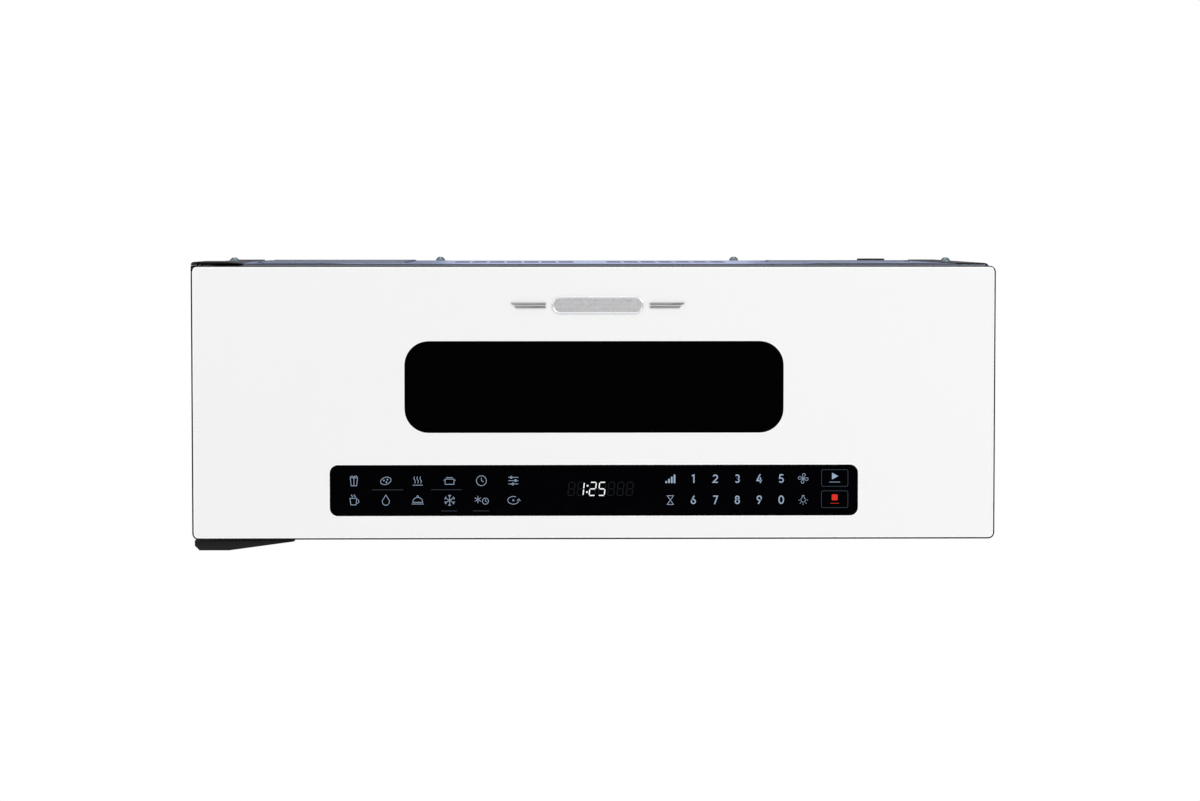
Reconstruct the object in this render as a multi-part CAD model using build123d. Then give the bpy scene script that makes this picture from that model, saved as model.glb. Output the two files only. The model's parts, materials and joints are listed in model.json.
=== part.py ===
"""Low-profile over-the-range microwave oven, millimetres.

Frame: X to the right as seen from the front, Y towards the wall, Z up. The origin is on the
wall face, centred on the width, level with the underside of the cabinet. The door faces -Y,
spans the whole front and swings on two pins at the left edge.
"""

import os
from math import cos, radians, sin

from build123d import *

# ------------------------------------------------------------------ driving sizes: cabinet
cabinet_width = 759.0
cabinet_height = 262.3
overall_depth = 465.0  # wall face to the front of the door
sheet = 1.0  # cabinet and cavity sheet steel
side_bend = 5.0  # outer bend radius of the side panels
side_flange = 32.0  # side panels fold this far over top and bottom
return_flange = 10.0  # turned edges of the front frame and the back panel
cut_through = 1.0  # how far a cutting tool reaches past what it cuts
running_gap = 0.3  # between parts that move past each other

# ------------------------------------------------------------------ driving sizes: door
door_thickness = 45.0
door_gap = 3.0  # door to cabinet front
door_top_drop = 2.3
door_bottom_rise = 1.5
door_corner = 6.0
front_panel_thickness = 2.0
front_panel_inset = 1.0  # black frame left showing round the white panel
front_panel_corner = 5.0
front_panel_edge = 0.6  # rolled edge of the panel and its openings
window_width = 357.7
window_height = 86.5
window_corner = 22.7
window_rise = 15.0  # window centre above the door centre
window_glass_thickness = 3.0
control_width = 499.1
control_height = 48.1
control_corner = 7.6
control_drop = 82.8  # control panel centre below the door centre
control_glass_thickness = 2.2
glass_clearance = 0.35  # gap round each pane
glass_recess = 0.3  # pane surface behind the panel surface
pane_ledge = 6.0  # frame ledge behind the panes
frame_wall = 3.0
frame_face = 2.5
frame_rear_step = 1.0  # frame's rear edge in front of the choke panel
tunnel_wall = 2.0
choke_depth = 10.0
choke_cover_thickness = 6.0
choke_margin_left = 19.5  # kept off the hinge side so the door can swing
choke_margin = 8.0
choke_corner = 4.0
inner_glass_thickness = 1.6
inner_glass_overlap = 9.0
boss_radius = 5.0
top_boss_inset = 20.5  # choke bosses from the door's top and bottom edges
bottom_boss_inset = 25.5
left_boss_inset = 34.5
right_boss_inset = 20.0  # from the latch bar
top_boss_spread = 120.0

# ------------------------------------------------------------------ driving sizes: door pull
grip_width = 90.0
grip_depth = 18.5
grip_height = 22.0
grip_wall = 2.0

# ------------------------------------------------------------------ driving sizes: hinges
hinge_inset_x = 14.0  # pin centre from the cabinet side
hinge_inset_y = 22.0  # pin centre from the door front
hinge_pin_radius = 4.0
hinge_pin_engagement = 9.0
pin_clearance = 0.05
bush_wall = 2.45
bush_flange_width = 2.0
bush_length = 12.0
bush_flange = 0.7
upper_bracket_thickness = 1.4
upper_bracket_width = 45.0
upper_bracket_taper = 15.0
upper_bracket_reach = 65.0  # along Y, on the cabinet
upper_bracket_corner = 2.8
upper_bracket_lip = 5.0  # width of the edge that turns down beside the pin
upper_bracket_tip = 0.5
lower_bracket_thickness = 3.0
lower_bracket_width = 31.0
bracket_front_margin = 4.0
bracket_screw_pitch = 18.0
hinge_cover_height = 9.3
hinge_cover_inset = 1.5
hinge_cover_width = 94.0
hinge_cover_flat = 28.0
hinge_cover_chamfer = 4.5
hinge_cover_wall = 1.6
hinge_cover_taper = 4.0  # walls that the hollow falls short of the thin end
hinge_cover_front_margin = 10.0
hinge_cover_rear = 26.0  # reach behind the cabinet front

# ------------------------------------------------------------------ driving sizes: badge
badge_rise = 92.0  # badge centre above the door centre
badge_shift = 3.4
badge_oval_width = 87.0
badge_oval_height = 17.0
badge_ring = 2.2
badge_thickness = 1.6
badge_centre_thickness = 0.8
badge_line_height = 1.5
badge_line_pitch = 4.2
badge_line_lengths = (27.0, 34.0)  # lower and upper
badge_line_gap = 5.0

# ------------------------------------------------------------------ driving sizes: oven cavity
cavity_height = 172.0
cavity_left_margin = 89.5  # cabinet side to cavity inside
cavity_floor_rise = 36.0
cavity_corner = 9.0
cavity_flange = 8.0
port_width = 90.0
port_height = 40.0
perforation_radius = 2.0
perforation_pitch = 7.0
perforation_columns = 5
perforation_rows = 4
steam_columns = 8
steam_rise = 43.0  # steam perforations above the cavity's middle
lamp_perforation_radius = 1.6
lamp_perforation_pitch = 4.9
mica_thickness = 0.6
mica_overlap = 8.0

# ------------------------------------------------------------------ driving sizes: turntable
turntable_side_gap = 15.0  # tray rim to the cavity walls
turntable_thickness = 5.0
turntable_rim = 13.0
turntable_slope = 16.0
turntable_lip = 3.0
roller_radius = 7.0
roller_width = 8.0
roller_inset = 45.5  # roller circle inside the tray's rim
roller_count = 3
roller_axle_radius = 2.0
axle_stub_radius = 3.0
axle_stub_length = 1.5
ring_bar = 5.0
ring_height = 4.6
coupler_radius = 17.0
coupler_hub_radius = 8.5
coupler_height = 9.0
coupler_lobes = 3
coupler_lobe_width = 8.0
drive_shaft_radius = 3.5
drive_shaft_insert = 14.0
lug_height = 6.0
lug_radius = 3.5
motor_radius = 24.5
motor_height = 20.0
motor_boss_radius = 6.0
motor_boss_height = 4.0
motor_ear = 9.0
motor_ear_width = 14.0
motor_plug_length = 10.0
floor_hole_radius = 8.0

# ------------------------------------------------------------------ driving sizes: latch
latch_side_inset = 36.5  # latch centre from the inside of the right side panel
latch_bar_width = 8.0
latch_bar_depth = 6.5
latch_arm_height = 8.0
latch_arm_reach = 24.0  # beyond the back of the door
latch_nose_drop = 4.5
latch_nose_slope = 3.0
latch_lift = 5.0
latch_pitch = 70.0
latch_count = 3
latch_slot_side = 3.0
latch_window_gap = 0.5
latch_slot_gap = 1.0
latch_plate = 4.0
latch_board_margin = 13.0
latch_board_wall = 2.5
latch_guide_size = 16.0
latch_guide_wall = 2.0
catch_clearance = 0.6
spring_radius = 3.0
spring_wire = 0.5  # wire radius
spring_turns = 9
spring_length = 26.0
spring_post = 4.0
switch_height = 22.0
switch_depth = 14.0
plunger_radius = 1.6
plunger_travel = 1.2
plunger_stand = 2.0

# ------------------------------------------------------------------ driving sizes: top panel
exhaust_slots = 7
exhaust_slot_width = 15.0
exhaust_slot_pitch = 17.6
exhaust_slot_length = 110.0
exhaust_first_slot = 24.5
exhaust_from_back = 187.0
exhaust_end_hole = 2.5
intake_slots = 3
intake_slot_length = 174.0
intake_slot_width = 9.0
intake_slot_pitch = 22.0
intake_side_inset = 119.5  # middle of the slots from the cabinet side
intake_from_front = 114.0
corner_notch_width = 32.0
corner_notch_depth = 14.0
corner_notch_inset = 16.0
corner_notch_from_back = 38.0
bead_length = 150.0
bead_width = 16.0
bead_height = 1.6
bead_slope = 1.4
bead_side_inset = 124.5  # middle of a bead from the cabinet side
bead_from_back = 102.0
bead_pitch = 68.0
beads_left = 4
beads_right = 1  # starting at the second row
bolt_spacing = 600.0
bolt_from_front = 47.0
bolt_radius = 3.3
nut_wall = 3.7
nut_height = 6.0

# ------------------------------------------------------------------ driving sizes: base
filter_width = 235.0
filter_length = 105.0
filter_inner_x = 90.0
filter_from_back = 192.0
filter_thickness = 8.5
filter_clearance = 0.8
filter_collar = 10.0
filter_ledge = 6.0
filter_recess = 1.5
filter_pull_radius = 7.0
filter_pull_height = 1.2
charcoal_thickness = 12.0
lens_width = 84.0
lens_length = 40.0
lens_thickness = 2.0
lens_drop = 1.25  # lens body below its lip
lens_side_inset = 164.5  # middle of a lens from the cabinet side
lens_from_front = 45.0
lens_lip = 4.0
lens_clearance = 0.3
lamp_height = 18.0
lamp_wall = 1.5
lamp_diodes = 4
lamp_diode_pitch = 16.8
lamp_diode_radius = 4.0
access_size = 60.0
access_overlap = 6.0
base_slots = 14
base_slot_length = 30.0
base_slot_width = 5.0
base_slot_pitch = 42.0
base_slot_from_back = 28.0

# ------------------------------------------------------------------ driving sizes: wall plate
wall_plate_depth = 8.0
wall_plate_sheet = 1.2
wall_plate_side_inset = 34.5
wall_plate_height = 112.0
wall_bolt_spacing_x = 406.4
wall_bolt_spacing_z = 70.0
wall_bolt_radius = 3.5
hook_x = 180.0
hook_width = 40.0
hook_reach = 5.0
hook_lip = 7.0
hook_slot_clearance = 2.0
vent_slots = 9
vent_slot_length = 100.0
vent_slot_width = 5.0
vent_slot_pitch = 11.0

# ------------------------------------------------------------------ driving sizes: power train
shelf_front_gap = 2.0
shelf_back_gap = 3.0
component_margin = 14.0
waveguide_depth = 38.0
waveguide_length = 112.0
waveguide_height = 78.0
waveguide_mouth = 17.0
waveguide_gap = 21.0  # behind the transformer
magnetron_rise = 14.0  # above the cavity's middle
antenna_radius = 9.0
antenna_length = 18.0
magnetron_width = 78.0
magnetron_length = 92.0
magnetron_height = 90.0
magnetron_wall = 2.0
anode_radius = 20.0
fin_count = 7
fin_thickness = 0.8
fin_inset = 6.0
filter_box_depth = 40.0
filter_box_size = 60.0
bay_side_gap = 11.5
transformer_width = 84.0
transformer_length = 82.0
transformer_height = 84.0
transformer_gap = 1.0
transformer_from_front = 49.0
transformer_foot = 6.0
transformer_foot_thickness = 2.0
core_leg = 18.0
coil_gap = 0.4
coil_corner = 12.0
capacitor_length = 96.0
capacitor_width = 32.0
capacitor_height = 52.0
capacitor_side_gap = 7.0
capacitor_edge = 15.0
capacitor_foot_inset = 4.0
terminal_radius = 2.5
terminal_length = 8.0
terminal_pitch = 26.0
board_width = 92.0
board_length = 76.0
board_thickness = 1.6
board_standoff = 8.0
board_post_radius = 3.0
board_post_inset = 6.0
board_from_back = 112.0
choke_coil_radius = 14.0
choke_coil_height = 20.0
board_part_width = 14.0
board_part_pitch = 19.6
board_part_length = 26.0
board_part_height = 18.0
board_can_radius = 8.0
board_can_height = 26.0
fan_radius = 58.0
fan_gap = 3.0
fan_hub_radius = 14.0
fan_depth = 16.0
fan_blades = 6
fan_blade_thickness = 1.6
fan_blade_chord = 36.0
fan_blade_pitch = 32.0
fan_shaft_radius = 2.5
fan_from_back = 32.0
fan_top_margin = 29.0
fan_ring_wall = 1.5
fan_plate_margin = 6.0
fan_side_margin = 4.0
fan_motor_size = 50.0
fan_motor_depth = 20.0
fan_arm = 8.0
fan_arm_depth = 4.0

# ------------------------------------------------------------------ driving sizes: ventilation
duct_margin = 8.0  # duct walls outside the exhaust slots
duct_back_gap = 2.0
wheel_radius = 25.0
wheel_length = 92.0
wheel_blades = 20
wheel_blade_depth = 4.0
wheel_blade_thickness = 1.0
wheel_blade_inset = 0.4
wheel_plate = 2.0
wheel_hub_radius = 8.0
wheel_hub_length = 30.0
wheel_gap = 3.5
wheel_inner_x = 42.0
scroll_wall = 1.2
scroll_inlet_radius = 17.0
blower_back_gap = 0.8
blower_front_gap = 1.8
blower_axis_drop = 59.0  # below the duct floor
blower_shaft_radius = 4.0
blower_motor_radius = 24.0
blower_motor_length = 62.0
blower_bracket = 20.0

# ------------------------------------------------------------------ driving sizes: small parts
screw_head_radius = 5.0
screw_head_height = 4.2
screw_shank_radius = 2.0
screw_shank_length = 7.0
screw_hole_clearance = 0.15
screw_cross = 1.0
flush_head_radius = 3.6
top_screw_inset = 22.0
top_screw_from_back = 245.0
rear_screw_x = 158.0
rear_screw_inset = 6.0
bushing_side_inset = 79.5
bushing_from_back = 67.0
bushing_hole_radius = 11.0
bushing_rim = 3.5
bushing_flange = 2.5
bushing_bore_radius = 6.0
bushing_depth = 8.0
bushing_fit = 0.1
lamp_block = 26.0
lamp_block_depth = 22.0
lamp_bore_gap = 3.0
bulb_radius = 7.0
lamp_from_front = 40.0
lamp_from_ceiling = 26.0
control_board_width = 460.0
control_board_height = 42.0
control_board_thickness = 1.6
control_board_boss = 3.0
control_boss_inset = 6.0
relay_size = 24.0
relay_height = 9.0
relay_x = 135.0
buzzer_radius = 6.0
buzzer_height = 14.0
buzzer_x = 185.0
chip_size = 20.0
chip_height = 5.0
display_width = 76.0
display_height = 27.0
display_depth = 7.0

# ------------------------------------------------------------------ places worked out from the sizes
half_width = cabinet_width / 2
inside_half = half_width - sheet
panel_half = half_width - side_bend  # top and base stop short of the side bends
door_front = -overall_depth
door_back = door_front + door_thickness
cabinet_front = door_back + door_gap
cabinet_back = -wall_plate_depth
frame_back = cabinet_front + sheet
back_inner = cabinet_back - sheet
door_bottom = door_bottom_rise
door_top = cabinet_height - door_top_drop
door_mid = (door_bottom + door_top) / 2
base_top = 2 * sheet
top_face = cabinet_height - sheet
top_under = top_face - sheet

window_z = door_mid + window_rise
control_z = door_mid - control_drop
panel_back = door_front + front_panel_thickness
face_back = panel_back + frame_face
window_glass_back = door_front + glass_recess + window_glass_thickness
control_glass_back = door_front + glass_recess + control_glass_thickness
control_board_front = control_glass_back + display_depth
cover_front = door_back - choke_cover_thickness
choke_front = cover_front - sheet
frame_rear = choke_front - frame_rear_step
hinge_x = -half_width + hinge_inset_x
hinge_y = door_front + hinge_inset_y
bush_radius = hinge_pin_radius + pin_clearance + bush_wall

wheel_space = wheel_radius + wheel_gap
blower_axis_y = back_inner - blower_back_gap - scroll_wall - wheel_space
blower_front = blower_axis_y - wheel_space - scroll_wall
bay_width = waveguide_depth + magnetron_width + filter_box_depth + bay_side_gap
bay_left = inside_half - bay_width
bay_mid_x = inside_half - bay_width / 2

cavity_left = -half_width + cavity_left_margin
cavity_right = bay_left - sheet
cavity_mid_x = (cavity_left + cavity_right) / 2
cavity_floor = cavity_floor_rise
cavity_ceiling = cavity_floor + cavity_height
cavity_mid_z = (cavity_floor + cavity_ceiling) / 2
cavity_rear = blower_front - blower_front_gap - sheet
duct_floor = cavity_ceiling + sheet
duct_floor_top = duct_floor + sheet
duct_back = back_inner - return_flange - duct_back_gap
blower_axis_z = duct_floor - blower_axis_drop
shelf_top = cavity_floor

turntable_x = cavity_mid_x
turntable_y = (cabinet_front + cavity_rear) / 2
turntable_radius = (cavity_rear - cabinet_front) / 2 - turntable_side_gap
roller_circle = turntable_radius - roller_inset
axle_z = cavity_floor + running_gap + roller_radius
glass_under = axle_z + roller_radius + running_gap
coupler_base = glass_under - coupler_height

latch_x = inside_half - latch_side_inset
latch_left = latch_x - latch_bar_width / 2
latch_right = latch_x + latch_bar_width / 2
latch_bar_back = choke_front - 2 * running_gap
latch_bar_front = latch_bar_back - latch_bar_depth
latch_end = door_back + latch_arm_reach
latch_low = shelf_top + latch_board_margin + switch_height / 2
latch_heights = [latch_low + i * latch_pitch for i in range(latch_count)]
latch_high = latch_heights[-1]
latch_bay_left = latch_left - latch_slot_side
latch_bay_right = latch_right + 2 * latch_slot_side
switch_front = latch_end + running_gap + plunger_travel + plunger_stand
switch_back = switch_front + switch_depth
latch_board_rear = switch_back + latch_board_wall
spring_base = latch_low - latch_guide_size - spring_length

transformer_y = cabinet_front + transformer_from_front
magnetron_y = transformer_y + transformer_length / 2 + waveguide_gap + waveguide_length / 2
magnetron_z = cavity_mid_z + magnetron_rise
lamp_y = cabinet_front + lamp_from_front
lamp_z = cavity_ceiling - lamp_from_ceiling
fan_plate_y = cabinet_back - fan_from_back
fan_ring_radius = fan_radius + fan_gap
fan_z = top_under - fan_top_margin - fan_ring_radius
fan_motor_end = fan_plate_y + fan_arm_depth + fan_motor_depth

intake_x = half_width - intake_side_inset
bead_x = half_width - bead_side_inset
exhaust_y = cabinet_back - exhaust_from_back
exhaust_last_slot = exhaust_first_slot + (exhaust_slots - 1) * exhaust_slot_pitch
exhaust_hole_outer = exhaust_last_slot + exhaust_slot_width / 2 + 2 * exhaust_end_hole
exhaust_hole_inner = exhaust_first_slot - exhaust_slot_width / 2 - 2 * exhaust_end_hole
duct_half_width = exhaust_hole_outer + duct_margin
duct_front_y = exhaust_y - exhaust_slot_length / 2 - duct_margin
filter_mid_x = filter_inner_x + filter_width / 2
filter_y = cabinet_back - filter_from_back
filter_seat = base_top + filter_collar - sheet
lens_x = half_width - lens_side_inset
lens_y = cabinet_front + lens_from_front
bolt_y = cabinet_front + bolt_from_front
bushing_x = half_width - bushing_side_inset
bushing_y = cabinet_back - bushing_from_back
hook_z = hook_lip
wall_plate_half = half_width - wall_plate_side_inset
cover_screw_x = access_size / 2 + access_overlap / 2

grip_left = control_board_width / 2 + grip_wall + 3 * control_board_boss - control_boss_inset
grip_right = grip_left + grip_width
grip_back = choke_front - choke_depth - 2 * running_gap - grip_wall
grip_front = grip_back - grip_depth

top_screw_x = half_width - top_screw_inset
top_screw_y = cabinet_back - top_screw_from_back
bracket_screw_y = cabinet_front + return_flange + screw_head_radius
top_screw_places = [(side * top_screw_x, top_screw_y) for side in (-1, 1)]
rear_screw_places = [(side * rear_screw_x, back_inner - rear_screw_inset) for side in (-1, 1)]
bracket_screw_places = [(-top_screw_x, bracket_screw_y + i * bracket_screw_pitch) for i in range(2)]
cover_screw_places = [(turntable_x + side * cover_screw_x, turntable_y) for side in (-1, 1)]


# ------------------------------------------------------------------ shape helpers
def block(x0, x1, y0, y1, z0, z1):
    """A box between two corners."""
    middle = Pos((x0 + x1) / 2, (y0 + y1) / 2, (z0 + z1) / 2)
    return middle * Box(x1 - x0, y1 - y0, z1 - z0)


def front_slab(shape, y0, y1):
    """A sketch drawn in X and Z, as thick as y0 to y1."""
    plane = Plane((0, y1, 0), x_dir=(1, 0, 0), z_dir=(0, -1, 0))
    return extrude(plane * shape, amount=y1 - y0)


def flat_slab(shape, z0, z1):
    """A sketch drawn in X and Y, as thick as z0 to z1."""
    return extrude(Plane((0, 0, z0)) * shape, amount=z1 - z0)


def side_slab(shape, x0, x1):
    """A sketch drawn in Y and Z, as thick as x0 to x1."""
    plane = Plane((x0, 0, 0), x_dir=(0, 1, 0), z_dir=(1, 0, 0))
    return extrude(plane * shape, amount=x1 - x0)


def rounded(x0, x1, z0, z1, radius):
    """A rectangle with round corners, between two corners of a sketch."""
    return centred((x0 + x1) / 2, (z0 + z1) / 2, x1 - x0, z1 - z0, radius)


def centred(x, z, width, height, radius):
    """A rectangle with round corners about its centre."""
    return Pos(x, z) * RectangleRounded(width, height, radius)


def inset_radius(radius, grow):
    """Corner radius of an outline that is offset by grow. It never falls under 1."""
    return max(radius + min(grow, 0), 1)


def rod_x(y, z, x0, x1, radius):
    return Pos((x0 + x1) / 2, y, z) * Rot(0, 90, 0) * Cylinder(radius, x1 - x0)


def rod_y(x, z, y0, y1, radius):
    return Pos(x, (y0 + y1) / 2, z) * Rot(90, 0, 0) * Cylinder(radius, y1 - y0)


def rod_z(x, y, z0, z1, radius):
    return Pos(x, y, (z0 + z1) / 2) * Cylinder(radius, z1 - z0)


def steps(count, pitch):
    """Offsets of a centred row."""
    return [(i - (count - 1) / 2) * pitch for i in range(count)]


def screw_hole(x, y, z0, z1):
    """A screw's hole through what lies between two heights."""
    return rod_z(x, y, z0 - cut_through, z1 + cut_through, screw_shank_radius + screw_hole_clearance)


def dome_screw(x, y, z, up=1):
    """A domed cross-head screw whose head sits on the plane z and points up or down."""
    ball_radius = (screw_head_radius**2 + screw_head_height**2) / (2 * screw_head_height)
    ball = Pos(0, 0, screw_head_height - ball_radius) * Sphere(ball_radius)
    head = ball & rod_z(0, 0, 0, screw_head_height, screw_head_radius)
    for turn in (0, 90):
        slot = Box(screw_head_radius, screw_cross, screw_head_height)
        head -= Pos(0, 0, screw_head_height) * Rot(0, 0, turn) * slot
    shank = rod_z(0, 0, -screw_shank_length, 0, screw_shank_radius)
    facing = Rot(0, 0, 0) if up > 0 else Rot(180, 0, 0)
    return Pos(x, y, z) * facing * (head + shank)


def flush_screw(x, y, z, grow=0):
    """A countersunk screw, or with grow the hole for one. Its head ends level with the plane z."""
    depth = upper_bracket_thickness
    cone = Cone(screw_shank_radius + grow, flush_head_radius + grow, depth)
    shank = rod_z(x, y, z - screw_shank_length, z - depth, screw_shank_radius + grow)
    return Pos(x, y, z - depth / 2) * cone + shank


# ------------------------------------------------------------------ cabinet panels
def side_panel(side):
    """Side sheet folded over the top and the bottom, with round bends."""
    outer = rounded(-half_width, half_width, 0, cabinet_height, side_bend)
    inner = rounded(-inside_half, inside_half, sheet, cabinet_height - sheet, side_bend - sheet)
    middle = Pos(-half_width + side_flange / 2, cabinet_height / 2)
    kept = middle * Rectangle(side_flange, 2 * cabinet_height)
    panel = front_slab((outer - inner) & kept, cabinet_front, cabinet_back)
    for x, y in top_screw_places[:1] + bracket_screw_places:
        panel -= screw_hole(x, y, top_face, cabinet_height)
    for x, y in bracket_screw_places:
        panel -= screw_hole(x, y, 0, sheet)
    return panel if side < 0 else mirror(panel, about=Plane.YZ)


def slotted(sheet_metal, x, y, width, length, z):
    """Sheet metal less a rectangular slot through the height z."""
    return sheet_metal - Pos(x, y, z) * Box(width, length, 2 * (sheet + cut_through))


def top_panel():
    """Top sheet with exhaust and intake slots, pressed beads and the welded nuts of the upper bolts."""
    panel = block(-panel_half, panel_half, cabinet_front, cabinet_back, top_under, top_face)
    for side in (-1, 1):
        for i in range(exhaust_slots):
            x = side * (exhaust_first_slot + i * exhaust_slot_pitch)
            panel = slotted(panel, x, exhaust_y, exhaust_slot_width, exhaust_slot_length, top_under)
        for x in (exhaust_hole_inner, exhaust_hole_outer):
            panel -= rod_z(side * x, exhaust_y, top_under - cut_through, cabinet_height, exhaust_end_hole)
        notch_x = side * (inside_half - corner_notch_inset - corner_notch_width / 2)
        notch_y = cabinet_back - corner_notch_from_back
        panel = slotted(panel, notch_x, notch_y, corner_notch_width, corner_notch_depth, top_under)
    for step in steps(intake_slots, intake_slot_pitch):
        middle = Pos(intake_x, cabinet_front + intake_from_front + step)
        slot = middle * SlotOverall(intake_slot_length, intake_slot_width)
        panel -= flat_slab(slot, top_under - cut_through, cabinet_height)
    for x, y in bead_places():
        panel += pressed_bead(x, y)
        panel -= Pos(0, 0, -sheet) * pressed_bead(x, y)
    for x, y in top_screw_places + rear_screw_places + bracket_screw_places:
        panel -= screw_hole(x, y, top_under, top_face)
    for side in (-1, 1):
        x = side * bolt_spacing / 2
        panel += rod_z(x, bolt_y, top_under - nut_height, top_under, bolt_radius + nut_wall)
        panel -= rod_z(x, bolt_y, top_under - nut_height - cut_through, cabinet_height, bolt_radius)
    return panel - rod_z(bushing_x, bushing_y, top_under - cut_through, cabinet_height, bushing_hole_radius)


def bead_places():
    """Stiffening beads pressed into the top, clear of its openings."""
    rows = [cabinet_back - bead_from_back - i * bead_pitch for i in range(beads_left)]
    return [(-bead_x, y) for y in rows] + [(bead_x, y) for y in rows[1:1 + beads_right]]


def pressed_bead(x, y):
    bead = flat_slab(Pos(x, y) * SlotOverall(bead_length, bead_width), top_face, top_face + bead_height)
    return chamfer(bead.edges().group_by(Axis.Z)[-1], bead_slope)


def base_pan():
    """Base sheet with a raised collar round each grease filter and openings for the lamps and the motor."""
    pan = block(-panel_half, panel_half, cabinet_front, cabinet_back, sheet, base_top)
    collar_top = base_top + filter_collar
    for side in (-1, 1):
        middle = Pos(side * filter_mid_x, filter_y)
        collar = middle * Rectangle(filter_width + 2 * sheet, filter_length + 2 * sheet)
        ledge = middle * Rectangle(filter_width - 2 * filter_ledge, filter_length - 2 * filter_ledge)
        pan += flat_slab(collar, base_top, collar_top)
        pan -= flat_slab(middle * Rectangle(filter_width, filter_length), 0, filter_seat)
        pan -= flat_slab(ledge, 0, collar_top + cut_through)
        pan = slotted(pan, side * lens_x, lens_y, lens_width, lens_length, base_top)
    pan = slotted(pan, turntable_x, turntable_y, access_size, access_size, base_top)
    for step in steps(base_slots, base_slot_pitch):
        middle = Pos(step, cabinet_back - base_slot_from_back)
        slot = middle * SlotOverall(base_slot_length, base_slot_width)
        pan -= flat_slab(slot, 0, base_top + cut_through)
    for x, y in bracket_screw_places + cover_screw_places:
        pan -= screw_hole(x, y, sheet, base_top)
    return pan


def cross_panel(y0, y1, flange_y0, flange_y1):
    """Upright panel between top and base with a turned edge along both, cut to the side bends."""
    panel = block(-inside_half, inside_half, y0, y1, base_top, top_under)
    for z0, z1 in ((base_top, base_top + sheet), (top_under - sheet, top_under)):
        panel += block(-inside_half, inside_half, flange_y0, flange_y1, z0, z1)
    inside = rounded(-inside_half, inside_half, sheet, cabinet_height - sheet, side_bend - sheet)
    return panel & front_slab(inside, cabinet_front - cut_through, cut_through)


def back_panel():
    """Rear sheet with slots for the wall plate's hooks and for the cooling air."""
    panel = cross_panel(back_inner, cabinet_back, back_inner - return_flange, back_inner)
    y0, y1 = back_inner - cut_through, cabinet_back + cut_through
    for side in (-1, 1):
        x0 = side * hook_x - hook_width / 2 - hook_slot_clearance
        x1 = side * hook_x + hook_width / 2 + hook_slot_clearance
        panel -= block(x0, x1, y0, y1, hook_z - hook_slot_clearance, hook_z + wall_plate_sheet)
    for step in steps(vent_slots, vent_slot_pitch):
        slot = Pos(bay_mid_x, fan_z + step) * SlotOverall(vent_slot_length, vent_slot_width)
        panel -= front_slab(slot, y0, y1)
    for x, y in rear_screw_places:
        panel -= screw_hole(x, y, top_under - sheet, top_under)
    return panel


def front_frame():
    """Front sheet round the cavity's mouth, with a slot for each latch arm."""
    frame = cross_panel(cabinet_front, frame_back, frame_back, frame_back + return_flange)
    y0, y1 = cabinet_front - cut_through, frame_back + cut_through
    frame -= front_slab(cavity_outline(0), y0, y1)
    for z in latch_heights:
        z0 = z - latch_arm_height / 2 - latch_nose_drop - latch_slot_side
        z1 = z + latch_arm_height / 2 + latch_lift + latch_slot_side
        frame -= block(latch_bay_left, latch_bay_right, y0, y1, z0, z1)
    return frame


def wall_plate():
    """Tray screwed to the wall. Its hooks reach through the back panel and carry the lower rear edge."""
    half, edge = wall_plate_half, wall_plate_sheet
    plate = block(-half, half, -wall_plate_depth, 0, 0, wall_plate_height)
    plate -= block(-half + edge, half - edge, -wall_plate_depth, -edge, edge, wall_plate_height - edge)
    hook_back = back_inner - hook_reach
    for side in (-1, 1):
        x0, x1 = side * hook_x - hook_width / 2, side * hook_x + hook_width / 2
        plate += block(x0, x1, hook_back, -edge, hook_z, hook_z + edge)
        plate += block(x0, x1, hook_back, hook_back + edge, hook_z, hook_z + hook_lip)
        for up in (-1, 1):
            x, z = side * wall_bolt_spacing_x / 2, (wall_plate_height + up * wall_bolt_spacing_z) / 2
            plate -= rod_y(x, z, -wall_plate_depth, cut_through, wall_bolt_radius)
    return plate


# ------------------------------------------------------------------ hinges
def upper_hinge_bracket():
    """Bracket on the cabinet top. Over the door its outer edge turns down and its pin drops in."""
    left, right = -half_width, -half_width + upper_bracket_width
    z0, z1 = cabinet_height, cabinet_height + upper_bracket_thickness
    front, rear = door_front + bracket_front_margin, cabinet_front + upper_bracket_reach
    start, shoulder = left + upper_bracket_corner, right - upper_bracket_taper
    outline = make_face(Polyline(
        (start, z0), (start, z1), (shoulder, z1), (right, z0 + upper_bracket_tip), (right, z0), close=True))
    plate = front_slab(outline, front, rear)
    lip_bottom, lip_rear = door_top + 2 * running_gap, cabinet_front - running_gap
    lip = block(left, left + upper_bracket_lip, front, lip_rear, lip_bottom, z1)
    outer_edge = lip.edges().filter_by(Axis.Y).sort_by(lambda edge: edge.center().X - edge.center().Z)[0]
    plate += fillet(outer_edge, upper_bracket_corner)
    for x, y in bracket_screw_places:
        plate -= flush_screw(x, y, z1, screw_hole_clearance)
    pin_bottom, pin_top = door_top - hinge_pin_engagement, z1 - upper_bracket_thickness / 2
    return plate + rod_z(hinge_x, hinge_y, pin_bottom, pin_top, hinge_pin_radius)


def hinge_cover_span():
    """Front and rear of the lower hinge cover."""
    return door_front + hinge_cover_front_margin, cabinet_front + hinge_cover_rear


def lower_hinge_bracket():
    """Steel plate under the cabinet's left flange whose pin rises into the door."""
    front, rear = hinge_cover_span()
    inset = hinge_cover_wall + 2 * running_gap
    left = -half_width + hinge_cover_inset + hinge_cover_wall + cut_through
    right = left + lower_bracket_width
    plate = block(left, right, front + inset, rear - inset, -lower_bracket_thickness, 0)
    for x, y in bracket_screw_places:
        plate -= screw_hole(x, y, -lower_bracket_thickness, 0)
    pin_bottom, pin_top = -lower_bracket_thickness / 2, door_bottom + hinge_pin_engagement
    return plate + rod_z(hinge_x, hinge_y, pin_bottom, pin_top, hinge_pin_radius)


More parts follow.
